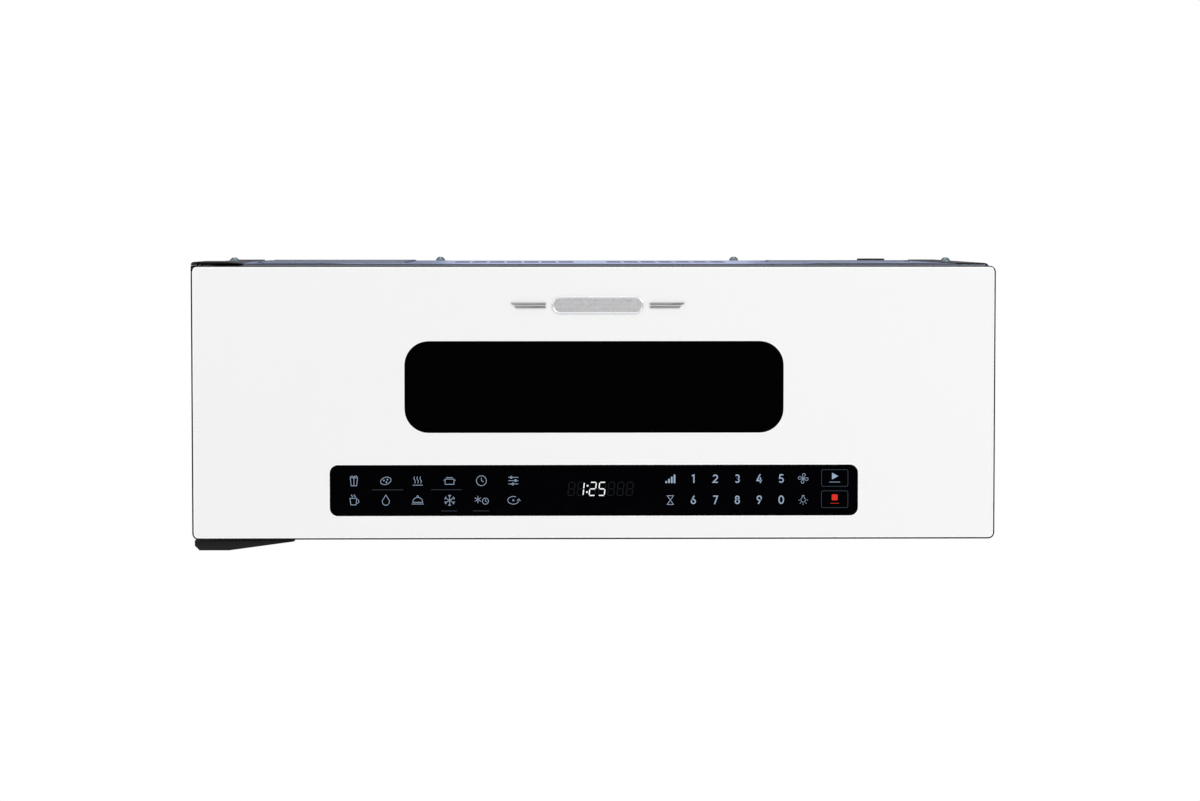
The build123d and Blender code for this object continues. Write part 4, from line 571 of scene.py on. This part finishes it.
class Print:
    """Flat strokes and fills that become one thin piece on a plane facing -Y."""

    def __init__(self):
        self.fills = []
        self.strokes = []

    def fill(self, points):
        self.fills.append(points)

    def stroke(self, points, width, closed=False):
        self.strokes.append((edges_of(points, width, closed), closed))

    def draw(self, lines, x, z, scale, width):
        """Strokes a list of lines and loops about a place."""
        for points, closed in lines:
            self.stroke(moved(points, x, z, scale), width, closed)

    def piece(self, name, x, y, z, thickness, body, slot, look=None):
        """Builds it about (x, z), as prisms whose backs lie on the plane y."""
        mesh = bmesh.new()

        def place(px, pz, level):
            return x + px, y - level * thickness, z + pz

        for outline in self.fills:
            prism(mesh, outline, (0, 1), place)
        for pairs, closed in self.strokes:
            rows = []
            for side, level in ((0, 0), (0, 1), (1, 1), (1, 0)):
                rows.append([mesh.verts.new(place(*pair[side], level)) for pair in pairs])
            skin(mesh, rows, closed, looped=True)
            if not closed:
                for end in (0, -1):
                    mesh.faces.new([row[end] for row in rows])
        return finished(mesh, name, body, slot, look)


# ---- digits, one unit high
def line(*points):
    return points, False


def loop(*points):
    return points, True


def digit_lines(digit):
    """Centre lines of a geometric digit in a box one unit high."""
    low, high = 0.08, 0.92
    six = [loop(*ring(0.0, 0.31, 0.23)), line((0.10, high + 0.05), (-0.195, 0.43))]
    lines = {
        "0": [loop(*ring(0.0, 0.5, 0.255, 1.647))],
        "1": [line((-0.17, 0.80), (0.06, high), (0.06, 0.0))],
        "2": [line(*arc(0.0, 0.67, 0.235, 165, -38), (-0.25, low), (0.27, low))],
        "3": [line(*arc(-0.01, 0.70, 0.205, 150, -88), (-0.05, 0.49)),
              line((-0.05, 0.50), *arc(-0.01, 0.29, 0.215, 88, -150))],
        "4": [line((0.10, 0.98), (-0.27, 0.27), (0.30, 0.27)), line((0.13, 0.62), (0.13, 0.0))],
        "5": [line((0.24, high), (-0.14, high), (-0.19, 0.52), *arc(-0.01, 0.31, 0.235, 105, -145))],
        "6": six,
        "7": [line((-0.25, high), (0.24, high), (-0.09, 0.0))],
        "8": [loop(*ring(0.0, 0.725, 0.185)), loop(*ring(0.0, 0.305, 0.225))],
        "9": [([(-x, 1.0 - z) for x, z in points], closed) for points, closed in six],
    }
    return lines[digit]


# ---- pictograms, millimetres
wave_swing = 0.5
wave_steps = 8


def snowflake(radius, forked):
    """Six arms, each with a short fork if asked."""
    arms = [[(0, 0), (radius, 0)]]
    if forked:
        arms.append([(radius * 0.96, -radius * 0.24), (radius * 0.66, 0), (radius * 0.96, radius * 0.24)])
    return [line(*moved(arm, turn=turn)) for turn in range(30, 390, 60) for arm in arms]


def wave(x, z, height):
    """A rising wisp of steam."""
    shares = [i / wave_steps for i in range(wave_steps + 1)]
    return line(*[(x + wave_swing * sin(2 * pi * share), z + height * share) for share in shares])


def clock(radius):
    hands = line((0, radius * 0.62), (0, 0), (radius * 0.45, -radius * 0.25))
    return [loop(*ring(0, 0, radius)), hands]


def shifted(lines, x, z):
    return [(moved(points, x, z), closed) for points, closed in lines]


def key_icons():
    """Plain pictograms for the twelve function keys, row by row."""
    bag = [loop((-2.6, 2.2), (-2.0, -3.6), (2.0, -3.6), (2.6, 2.2)), line(*arc(-1.3, 2.3, 1.2, 180, 0)),
           line(*arc(1.3, 2.3, 1.2, 180, 0)), line((0, 2.0), (0, -3.4))]
    tuber = [loop(*moved(ring(0, 0, 3.9, 0.66), turn=18))]
    tuber += [loop(*ring(x, z, 0.35)) for x, z in ((-1.4, 0.3), (1.2, 0.9), (0.5, -1.0))]
    heat = [wave(x, -1.8, 4.8) for x in (-2.2, 0, 2.2)] + [line((-3.6, -3.2), (3.6, -3.2))]
    pot = [loop((-3.2, 1.2), (-3.2, -2.6), (3.2, -2.6), (3.2, 1.2)), line((-4.3, 0.4), (-3.2, 0.4)),
           line((3.2, 0.4), (4.3, 0.4)), line((-2.4, 2.3), (2.4, 2.3))]
    sliders = [line((-3.6, z), (3.6, z)) for z in (2.4, 0, -2.4)]
    sliders += [loop(*ring(x, z, 0.75)) for x, z in ((-1.5, 2.4), (1.6, 0), (-0.4, -2.4))]
    cup = [loop((-2.9, 1.6), (-2.3, -3.2), (1.5, -3.2), (2.1, 1.6)), line(*arc(2.2, -0.6, 1.4, 80, -95)),
           wave(-1.4, 2.4, 1.8), wave(0.6, 2.4, 1.8)]
    drop = [loop((0, 4.0), *arc(0, -0.9, 2.6, 25, -205))]
    cloche = [loop(*arc(0, -1.4, 3.6, 0, 180)), line((-4.4, -2.6), (4.4, -2.6)), loop(*ring(0, 2.9, 0.6))]
    timed = shifted(snowflake(2.6, False), -2.6, 0.6) + shifted(clock(2.2), 2.9, -0.6)
    turning = [line(*arc(0, 0, 4.0, 62, 350, 0.7)), line((2.8, -0.4), (4.0, 1.0), (5.2, -0.4)),
               loop(*ring(0, 0, 0.45))]
    upper = [bag, tuber, heat, pot, clock(3.6), sliders]
    return upper, [cup, drop, cloche, snowflake(4.0, True), timed, turning]


def fan_symbol():
    """Four blades, each a leaf-shaped loop swept to one side."""
    leaf = [(0.0, 0.2)] + arc(0.55, 3.1, 1.3, 205, -55)
    return [loop(*moved(leaf, turn=turn)) for turn in (0, 90, 180, 270)]


def lamp_symbol():
    """A hanging bulb with five rays below."""
    bulb = loop((-0.75, 4.6), (-0.75, 3.4), *arc(0, 0.4, 2.1, 140, 400), (0.75, 3.4), (0.75, 4.6))
    rays = [line(*moved([(3.2, 0), (4.5, 0)], z=0.2, turn=turn)) for turn in (0, -45, -90, -135, -180)]
    return [bulb] + rays


# ---- control panel, millimetres from its centre
print_thickness = 0.03
icon_stroke = 0.5
fine_stroke = 0.42

key_first = -226.8
key_pitch = 30.07
key_rows = (9.3, -9.3)
icon_scale = 1.3
upper_rules = ((-209.78, -180.47), (-153.99, -125.15))
lower_rules = ((-144.53, -129.41), (-114.28, -99.15))
upper_rule_z = 0.8
lower_rule_z = -19.3
rule_stroke = 0.5

digit_first = 93.75
digit_pitch = 20.8
digit_rows = (11.0, -9.1)
digit_height = 8.3
digit_stroke = 1.12

level_x = 72.0  # power level over cooking time
level_bars = 4
level_pitch = 2.6
level_width = 1.6
level_step = 2.0  # each bar is this much taller than the one before
level_foot = 6.8
hourglass_scale = 1.15

symbol_x = digit_first + 5 * digit_pitch
fan_scale = 1.05
lamp_drop = 0.6

frame_x = 227.6  # start and stop keys
frame_width = 25.0
frame_height = 15.9
frame_corner = 1.6
frame_stroke = 0.38
frame_rise = 0.4
mark_rise = 2.2
underline_drop = 5.6  # below the mark
start_triangle = [(-2.6, -3.2), (3.4, 0.0), (-2.6, 3.2)]
start_underline = 5.0  # half its length
stop_square = 5.6
stop_corner = 0.8
stop_underline = 4.0


def place_on_control(name, picture, ink):
    """Puts a drawing made about the control glass's centre onto its front face."""
    x, z = control.middle.x, control.middle.z
    picture.piece(name, x, control.low.y, z, print_thickness, "door", "control_black", inks[ink])


def control_signs():
    """Digits, pictograms, rules and the two outlined keys."""
    digits = Print()
    for row, text in zip(digit_rows, ("12345", "67890")):
        for i, digit in enumerate(text):
            x = digit_first + i * digit_pitch
            digits.draw(digit_lines(digit), x, row - digit_height / 2, digit_height, digit_stroke)
    place_on_control("number_key_digits", digits, "key")

    icons = Print()
    for row, pictures in zip(key_rows, key_icons()):
        for i, lines in enumerate(pictures):
            icons.draw(lines, key_first + i * key_pitch, row, icon_scale, icon_stroke)
    for step in range(level_bars):
        x = level_x + (step - (level_bars - 1) / 2) * level_pitch
        left, right, top = x - level_width / 2, x + level_width / 2, level_foot + (step + 1) * level_step
        icons.fill([(left, level_foot), (right, level_foot), (right, top), (left, top)])
    hourglass = [loop((-2.6, 3.6), (2.6, 3.6), (-2.6, -3.6), (2.6, -3.6))]
    icons.draw(hourglass, level_x, key_rows[1], hourglass_scale, icon_stroke)
    icons.draw(fan_symbol(), symbol_x, digit_rows[0], fan_scale, fine_stroke)
    icons.draw(lamp_symbol(), symbol_x, digit_rows[1] - lamp_drop, 1.0, fine_stroke)
    icons.fill(moved(start_triangle, frame_x, digit_rows[0] + mark_rise))
    underline(icons, digit_rows[0], start_underline)
    place_on_control("key_pictograms", icons, "key")

    frames = Print()
    for row in digit_rows:
        outline = round_frame(frame_x, row + frame_rise, frame_width, frame_height, frame_corner)
        frames.stroke(outline, frame_stroke, True)
    place_on_control("start_stop_key_frames", frames, "frame")

    stop = Print()
    stop.fill(round_frame(frame_x, digit_rows[1] + mark_rise, stop_square, stop_square, stop_corner))
    underline(stop, digit_rows[1], stop_underline)
    place_on_control("stop_key_square", stop, "stop")

    lines = Print()
    for z, rules in ((upper_rule_z, upper_rules), (lower_rule_z, lower_rules)):
        for left, right in rules:
            lines.stroke([(left, z), (right, z)], rule_stroke)
    place_on_control("key_group_rules", lines, "rule")


def underline(picture, row, half):
    """The fine line under the mark of the start or the stop key."""
    z = row + mark_rise - underline_drop
    picture.stroke([(frame_x - half, z), (frame_x + half, z)], fine_stroke)


# ---- display, millimetres
figures = " 125   "
figure_first = -21.5
figure_pitch = 8.75
figure_height = 13.4
figure_width = 6.6
figure_slant = 0.105
figure_z = 1.4
segment_width = 1.0
segment_gap = 0.32
colon_gap = 2.6  # extra room after the second figure
colon_shift = 0.5
colon_rise = 3.0
colon_radius = 0.85

segments_of = {" ": "", "1": "bc", "2": "abged", "5": "afgcd"}
segment_ends = {
    "a": ((0, 2), (1, 2)), "b": ((1, 1), (1, 2)), "c": ((1, 0), (1, 1)), "d": ((0, 0), (1, 0)),
    "e": ((0, 0), (0, 1)), "f": ((0, 1), (0, 2)), "g": ((0, 1), (1, 1)),
}


def segment_bar(name, x, z):
    """Six-cornered bar of one segment. The figure leans to the right."""
    half_w, half_h = (figure_width - segment_width) / 2, (figure_height - segment_width) / 2
    start, end = (Vector(((2 * i - 1) * half_w, (j - 1) * half_h)) for i, j in segment_ends[name])
    along = (end - start).normalized()
    taper = along * segment_width / 2
    side = Vector((-taper.y, taper.x))
    start, end = start + along * segment_gap, end - along * segment_gap
    corners = [start, start + taper + side, end - taper + side, end, end - taper - side, start + taper - side]
    return [(x + p.x + figure_slant * p.y, z + p.y) for p in corners]


def display_figures():
    """Lit figures and a colon between unlit figures, all of seven segments."""
    lit, unlit = Print(), Print()
    for i, figure in enumerate(figures):
        x = figure_first + i * figure_pitch + (colon_gap if i > 1 else 0.0)
        for name in segment_ends:
            target = lit if name in segments_of[figure] else unlit
            target.fill(segment_bar(name, x, figure_z))
    colon_x = figure_first + 1.5 * figure_pitch + colon_gap / 2 + colon_shift
    for z in (-colon_rise, colon_rise):
        lit.fill(ring(colon_x + figure_slant * z, figure_z + z, colon_radius))
    place_on_control("display_lit_segments", lit, "lit")
    place_on_control("display_unlit_segments", unlit, "unlit")


# ---- badge, millimetres
badge = Box("badge")
ring_width = 2.2
ring_steps = 8
ring_foot = 0.35  # share of the badge's depth where the ring starts to round
oval_width = 87.0
oval_height = 17.0
inlay_share = 0.4  # of the badge's depth
line_lengths = (29.5, 33.0)
line_height = 2.1
line_pitch = 3.3
line_gap = 5.6
line_slant = 1.6
line_chamfer = 0.35
line_shoulder = 0.6  # share of the badge's depth where the chamfer starts


def badge_row(mesh, points, share):
    """Vertices about the badge's middle, at a share of its depth."""
    x, y, z = badge.middle.x, badge.high.y - share * badge.size.y, badge.middle.z
    return [mesh.verts.new((x + px, y, z + pz)) for px, pz in points]


def oval(inset):
    """The badge's outline with round ends, made smaller by an inset all round."""
    radius = oval_height / 2 - inset
    straight = (oval_width - oval_height) / 2
    return arc(straight, 0, radius, -90, 90) + arc(-straight, 0, radius, 90, 270)


def badge_pieces():
    """Chrome oval ring with a ribbed inlay, and two bevelled lines on each side."""
    mesh = bmesh.new()
    profile = [(0.0, 0.0)]
    for step in range(ring_steps + 1):
        angle = pi * step / ring_steps
        profile.append((ring_width / 2 * (1 - cos(angle)), ring_foot + (1 - ring_foot) * sin(angle)))
    profile.append((ring_width, 0.0))
    skin(mesh, [badge_row(mesh, oval(inset), share) for inset, share in profile], looped=True)
    badge_ring = finished(mesh, "badge_ring", "door", "chrome", smooth=True)

    mesh = bmesh.new()
    start = oval_width / 2 + line_gap
    for side in (-1, 1):
        for row, length in zip((-line_pitch / 2, line_pitch / 2), line_lengths):
            rows = []
            for inset, share in ((0.0, 0.0), (0.0, line_shoulder), (line_chamfer, 1.0)):
                near, far = start + inset, start + length - inset
                low, high = row - line_height / 2 + inset, row + line_height / 2 - inset
                corners = [(near, low), (far - line_slant, low), (far, high), (near, high)]
                rows.append(badge_row(mesh, [(side * px, pz) for px, pz in corners], share))
            skin(mesh, rows)
            mesh.faces.new(rows[0])
            mesh.faces.new(rows[-1])
    finished(mesh, "badge_lines", "door", "chrome", materials["satin"])

    mesh = bmesh.new()
    rows = [badge_row(mesh, oval(ring_width), share) for share in (0.0, inlay_share)]
    skin(mesh, rows)
    for row in rows:
        mesh.faces.new(row)
    finished(mesh, "badge_inlay", "door", "chrome", lined_inlay())
    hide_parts("badge")


# ---- edges of the door, millimetres
bead_start = 0.5
bead_width = 1.4
bead_height = 0.12
bead_steps = 6
gasket_overlap = 0.45
gasket_height = 0.08
cap_inset = 0.8  # how far the cap reaches into the frame's round corner
cap_rise = 0.42  # above the door frame, below the hinge plate's lip
cap_corner = 1.2
cap_depth = 11.0


def edge_beads():
    """Raised rolls round the panel and its two openings, in enamel whiter than the panel's: a painted
    highlight where the edges catch the light.
    """
    mesh = bmesh.new()
    places = ((panel, panel_radius, -1), (window, window_radius, 1), (control, control_radius, 1))
    for box, radius, outward in places:
        rows = []
        for step in range(bead_steps + 1):
            reach = outward * (bead_start + bead_width * step / bead_steps)
            y = panel.low.y - bead_height * sin(pi * step / bead_steps)
            width, height = box.size.x + 2 * reach, box.size.z + 2 * reach
            outline = round_frame(box.middle.x, box.middle.z, width, height, radius + reach)
            rows.append([mesh.verts.new((px, y, pz)) for px, pz in outline])
        skin(mesh, rows, looped=True)
    finished(mesh, "panel_edge_beads", "door", "door_white", materials["bead"], True)


def edge_gasket():
    """Black seal that laps over the panel's two upright edges and its lower one."""
    width, height = panel.size.x - gasket_overlap, panel.size.z - gasket_overlap
    radius = panel_radius - gasket_overlap / 2
    outline = round_frame(panel.middle.x, panel.middle.z, width, height, radius)
    half_corner = len(outline) // 8
    seal = Print()
    seal.stroke(outline[3 * half_corner:] + outline[:half_corner], gasket_overlap)
    seal.piece("panel_edge_seal", 0, panel.low.y, 0, gasket_height, "door", "black_plastic")


def corner_cap():
    """Fills the frame's round upper left corner to a nearly square one, under the hinge plate."""
    left, top = door_frame.low.x, door_frame.high.z
    x, z, over = left + frame_radius, top - frame_radius, top + cap_rise
    cap = Print()
    cap.fill(arc(x, z, frame_radius - cap_inset, 90, 180) + [(left, z)]
             + arc(left + cap_corner, over - cap_corner, cap_corner, 180, 90) + [(x, over)])
    cap.piece("door_corner_cap", 0, panel.high.y + cap_depth, 0, cap_depth, "door", "black_plastic")


# ---- the top, millimetres
flange_drop = 4.4
flange_sheet = 0.5
flange_bend = 1.6
flange_side_gap = 3.0
flange_sink = 0.05  # its rear edge under the top's face

# Black strips that stand in for the shading of the top sheet's beads: painted shade, not a part of the oven.
shade_strip_spans = ((-333.0, -235.0), (198.0, 345.0))
shade_strip_height = 0.5
shade_strip_depth = 1.5
shade_strip_taper = 18.0

grille_slots = 7
grille_first = 24.5
grille_pitch = 17.6
grille_width = 14.6
grille_y = -195.0
grille_length = 110.0
grille_bars = 12
grille_bar = 1.2
grille_height = 0.8
grille_sink = 0.12  # below the top sheet's face


def top_flange():
    """The top sheet's front edge, bent and folded down over the front frame."""
    low, sheet_front = top_face - flange_drop, front_frame.low.y - flange_sheet
    section = [(front_frame.low.y, low), (sheet_front, low)]
    section += arc(sheet_front + flange_bend, top_face - flange_bend, flange_bend, 180, 90)
    section += [(front_frame.low.y, top_face - flange_sink)]
    half = front_frame.high.x - flange_side_gap
    mesh = bmesh.new()
    prism(mesh, section, (-half, half), lambda y, z, x: (x, y, z))
    finished(mesh, "top_front_flange", "cabinet", "galvanised_steel")


def top_shade_strips():
    """Low black strips on the top sheet behind its front edge: painted shade put where the pressed beads
    there are shaded.
    """
    strips = Print()
    upper = top_face + shade_strip_height
    for left, right in shade_strip_spans:
        strips.fill([(left, top_face), (right, top_face), (right - shade_strip_taper, upper),
                     (left + shade_strip_taper, upper)])
    back = front_frame.low.y + flange_bend + 2 * shade_strip_depth
    strips.piece("top_shade_strips", 0, back, 0, shade_strip_depth, "cabinet", "black_plastic")


def exhaust_grille():
    """Black cross bars in the exhaust slots of the top sheet."""
    top = top_face - grille_sink
    low, half = top - grille_height, grille_bar / 2
    mesh = bmesh.new()
    for side in (-1, 1):
        for i in range(grille_slots):
            x = side * (grille_first + i * grille_pitch)
            ends = (x - grille_width / 2, x + grille_width / 2)
            for j in range(grille_bars):
                y = grille_y + grille_length * ((j + 0.5) / grille_bars - 0.5)
                section = [(y - half, top), (y + half, top), (y + half / 2, low), (y - half / 2, low)]
                prism(mesh, section, ends, lambda py, pz, px: (px, py, pz))
    finished(mesh, "exhaust_grille_bars", "cabinet", "black_plastic")


# ---- fasteners, millimetres
screw_sides = 24
# Shares of the head's radius and height: its dome, then the recess.
head_rings = ((1.0, 0.0), (1.0, 0.25), (0.93, 0.55), (0.78, 0.8), (0.55, 0.95), (0.42, 1.0))
recess_arm = (0.40, 0.55)
recess_corner = (0.14, 0.62)

rear_screw = (3.6, 1.9)  # radius and height, and so are the next two
door_screw = (2.6, 1.0)
mica_pin = (4.0, 1.6)
rear_inset = 6.5
rear_top_xs = (-330.0, -200.0, 0.0, 200.0, 330.0)
rear_side_rises = (20.0, 80.0)  # above the wall plate
door_inset = 9.0
door_screw_xs = (-300.0, -100.0, 100.0, 300.0)
mica_inset = 6.0


def add_screw(mesh, place, axis, radius, height):
    """A low domed head with a cross recess, which stands on place and points along axis."""
    turn = Vector((0, 0, 1)).rotation_difference(Vector(axis)).to_matrix()
    circles = [[shares] * screw_sides for shares in head_rings]
    circles.append([recess_corner if i % (screw_sides // 4) else recess_arm for i in range(screw_sides)])
    rows = []
    for circle in circles:
        row = []
        for i, (share, level) in enumerate(circle):
            angle = 2 * pi * i / screw_sides
            local = Vector((radius * share * cos(angle), radius * share * sin(angle), height * level))
            row.append(mesh.verts.new(Vector(place) + turn @ local))
        rows.append(row)
    skin(mesh, rows)
    mesh.faces.new(rows[0])
    mesh.faces.new(rows[-1])


def screw_group(name, places, axis, size, body, slot="screw_steel"):
    mesh = bmesh.new()
    for place in places:
        add_screw(mesh, place, axis, *size)
    finished(mesh, name, body, slot)


def rear_screws():
    """Screws round the edge of the back panel, clear of the wall plate."""
    box, plate_top = Box("back_panel"), Box("wall_plate").high.z
    places = [(x, box.high.y, box.high.z - rear_inset) for x in rear_top_xs]
    for x in (rear_inset - box.high.x, box.high.x - rear_inset):
        places += [(x, box.high.y, plate_top + rise) for rise in rear_side_rises]
    screw_group("back_panel_screws", places, (0, 1, 0), rear_screw, "cabinet")


def choke_cover_screws():
    """Screws that hold the inner trim of the door."""
    box = Box("choke_cover")
    zs = (box.low.z + door_inset, box.high.z - door_inset)
    places = [(x, box.high.y, z) for x in door_screw_xs for z in zs]
    screw_group("door_inner_screws", places, (0, 1, 0), door_screw, "door")


def mica_pins():
    """Two plastic push pins that hold the mica cover on the cavity wall."""
    box = Box("waveguide_cover")
    places = [(box.low.x, y, box.middle.z) for y in (box.low.y + mica_inset, box.high.y - mica_inset)]
    screw_group("mica_pins", places, (-1, 0, 0), mica_pin, "cabinet", "bushing_plastic")


# ---- underside, millimetres
rib_pitch = 4.6
rib_radius = 1.3
rib_rise = 0.6
rib_steps = 6
lens_margin = 6.5
lens_span = 92.0  # one lens with its lip

net_margin = 6.3
net_rise = 2.1  # above the pull tab, inside the filter's recess
net_strand = 0.9
net_columns = 44
net_rows = 24


def lens_ribs():
    """Half-round ribs moulded on the underside of both cooktop lamp lenses."""
    box = Box("lamp_lenses")
    ends = (box.low.y + lens_margin, box.high.y - lens_margin)
    length = lens_span - 2 * lens_margin
    count = int(length / rib_pitch)
    mesh = bmesh.new()
    for side in (-1, 1):
        middle = side * (box.high.x - lens_span / 2)
        for i in range(count):
            x = middle + (i - (count - 1) / 2) * rib_pitch
            angles = [pi * k / rib_steps for k in range(rib_steps + 1)]
            arch = [(x + rib_radius * cos(a), box.low.z - rib_rise * sin(a)) for a in angles]
            prism(mesh, arch, ends, lambda px, pz, py: (px, py, pz))
    finished(mesh, "lens_ribs", "cabinet", "lens_glass")


def filter_net(side):
    """Expanded aluminium net in a grease filter's recess, as a lattice of strands."""
    name = f"grease_filter_{side}"
    box = Box(name)
    dx = (box.size.x - 2 * net_margin) / net_columns
    dy = (box.size.y - 2 * net_margin) / net_rows
    mesh = bmesh.new()
    grid = {}

    def vertex(i, j):
        if (i, j) not in grid:
            x, y = box.low.x + net_margin + i * dx, box.low.y + net_margin + j * dy
            grid[i, j] = mesh.verts.new((x, y, box.low.z + net_rise))
        return grid[i, j]

    for i in range(1, net_columns):
        for j in range(1, net_rows):
            if (i + j) % 2 == 0:
                mesh.faces.new((vertex(i - 1, j), vertex(i, j - 1), vertex(i + 1, j), vertex(i, j + 1)))
    piece = finished(mesh, f"grease_net_{side}", name, "filter_mesh", materials["aluminium"])
    wire = piece.modifiers.new("strands", "WIREFRAME")
    wire.thickness = net_strand * MM
    wire.use_even_offset = False
    wire.use_replace = True
    apply_modifiers(piece)


def apply_modifiers(piece):
    """Replaces a piece's mesh by its mesh with the modifiers worked in."""
    bpy.context.view_layer.update()
    evaluated = piece.evaluated_get(bpy.context.evaluated_depsgraph_get())
    mesh = bpy.data.meshes.new_from_object(evaluated)
    piece.modifiers.clear()
    piece.data = mesh


# ---- the studio, metres
sky_strength = 0.62
floor_height = -0.5
floor_middle = -0.45  # Y of the floor's middle, below the object's front
floor_half = 7.0
floor_grey = (0.86, 0.86, 0.86)
floor_lift = 0.2
floor_near = 0.65  # radius inside which the floor shows its shading
floor_far = 1.35  # radius outside which it is plain white

cards = (  # name, grey, left, right, y, bottom, top
    ("camera_card", 0.004, -1.5, 1.5, -5.6, floor_height, 0.62),
    ("left_card", 0.12, -1.9, -0.19, 1.3, 0.12, 0.75),
    ("right_card", 0.18, 0.26, 1.9, 1.3, 0.12, 0.75),
)
soft_boxes = (  # name, place, target, width, height, watts
    ("front_soft_box", (2.0, -3.2, 1.7), (0.0, -0.46, 0.1), 2.2, 1.6, 36.0),
    ("left_soft_box", (-2.4, -2.6, 1.5), (0.0, -0.3, 0.1), 1.6, 1.6, 10.0),
    ("top_soft_box", (0.0, -0.2, 2.6), (0.0, -0.2, 0.0), 2.0, 1.6, 14.0),
)


def background_rays(tree):
    """One where a ray comes from the camera, a mirror or through glass, so that all show the background."""
    path = tree.add("LightPath").outputs
    total = path["Is Camera Ray"]
    for name in ("Is Glossy Ray", "Is Transmission Ray"):
        total = tree.math("MAXIMUM", total, path[name])
    return total


def sky():
    """White background that lights the object less than it shows."""
    world = bpy.data.worlds.new("studio_world")
    bpy.context.scene.world = world
    tree = Tree(world)
    background = tree.nodes["Background"].inputs
    tree.join(white, background["Color"])
    tree.join(tree.span(background_rays(tree), 0.0, 1.0, sky_strength, 1.0), background["Strength"])


def floor_look():
    """Pale floor: shadows near the object, the white background far away, and clear from below."""
    material = bpy.data.materials.new("studio_floor")
    tree = Tree(material)
    tree.nodes.clear()
    matt = tree.add("BsdfDiffuse", {"Color": floor_grey}).outputs[0]
    lift = tree.add("Emission", {"Strength": floor_lift}).outputs[0]
    near = tree.add("AddShader", {0: matt, 1: lift}).outputs[0]
    place = tree.add("TexCoord").outputs["Object"]
    radius = tree.add("VectorMath", {0: place}, operation="LENGTH").outputs["Value"]
    fade = tree.span(radius, floor_near, floor_far, interpolation_type="SMOOTHSTEP")
    plain = tree.math("MULTIPLY", fade, background_rays(tree))
    above = tree.add("MixShader", {0: plain, 1: near, 2: tree.add("Emission").outputs[0]}).outputs[0]
    below = tree.add("NewGeometry").outputs["Backfacing"]
    both = tree.add("MixShader", {0: below, 1: above, 2: tree.add("BsdfTransparent").outputs[0]})
    tree.add("OutputMaterial", {"Surface": both.outputs[0]})
    return material


def flat_piece(name, corners, material):
    data = bpy.data.meshes.new(name)
    data.from_pydata(corners, [], [tuple(range(len(corners)))])
    data.materials.append(material)
    piece = linked(name, data)
    return piece


def studio_card(name, grey, left, right, y, bottom, top):
    """Upright card seen only in mirrors, as a studio shades glass and polished metal."""
    look = Graph(name, (grey, grey, grey), 1.0, Specular_IOR_Level=0.0).material
    corners = [(left, y, bottom), (right, y, bottom), (right, y, top), (left, y, top)]
    card = flat_piece(name, corners, look)
    for rays in ("camera", "diffuse", "shadow", "transmission"):
        setattr(card, f"visible_{rays}", False)


def soft_box(name, place, target, width, height, watts):
    light = bpy.data.lights.new(name, "AREA")
    light.shape = "RECTANGLE"
    light.size = width
    light.size_y = height
    light.energy = watts
    lamp = linked(name, light)
    lamp.location = place
    lamp.rotation_euler = (Vector(target) - Vector(place)).to_track_quat("-Z", "Y").to_euler()


def studio():
    """World, floor, cards and lamps."""
    sky()
    corners = [(x * floor_half, y * floor_half, 0) for x, y in ((-1, -1), (1, -1), (1, 1), (-1, 1))]
    floor = flat_piece("studio_floor", corners, floor_look())
    floor.location = (0.0, floor_middle, floor_height)
    for card in cards:
        studio_card(*card)
    for box in soft_boxes:
        soft_box(*box)


# ---- the view
camera_place = (-0.052, -3.565, 0.2907)  # metres
camera_pitch = 2.912  # degrees down
camera_yaw = 1.062  # degrees to the right
camera_reach = 60.0  # metres
sensor_width = 36.0
focal_pixels = 3290.0
image_width = 1200.0


def camera():
    data = bpy.data.cameras.new("camera")
    data.sensor_fit = "HORIZONTAL"
    data.sensor_width = sensor_width
    data.lens = focal_pixels / image_width * sensor_width
    data.clip_end = camera_reach
    eye = linked("camera", data)
    eye.location = camera_place
    eye.rotation_euler = (radians(90.0 - camera_pitch), 0.0, radians(-camera_yaw))
    bpy.context.scene.camera = eye


# ---- making
camera()
studio()
dress_nodes()
control_signs()
display_figures()
badge_pieces()
edge_beads()
edge_gasket()
corner_cap()
top_flange()
top_shade_strips()
exhaust_grille()
rear_screws()
choke_cover_screws()
mica_pins()
lens_ribs()
for side_name in ("left", "right"):
    filter_net(side_name)
bpy.context.scene.view_settings.view_transform = "Standard"
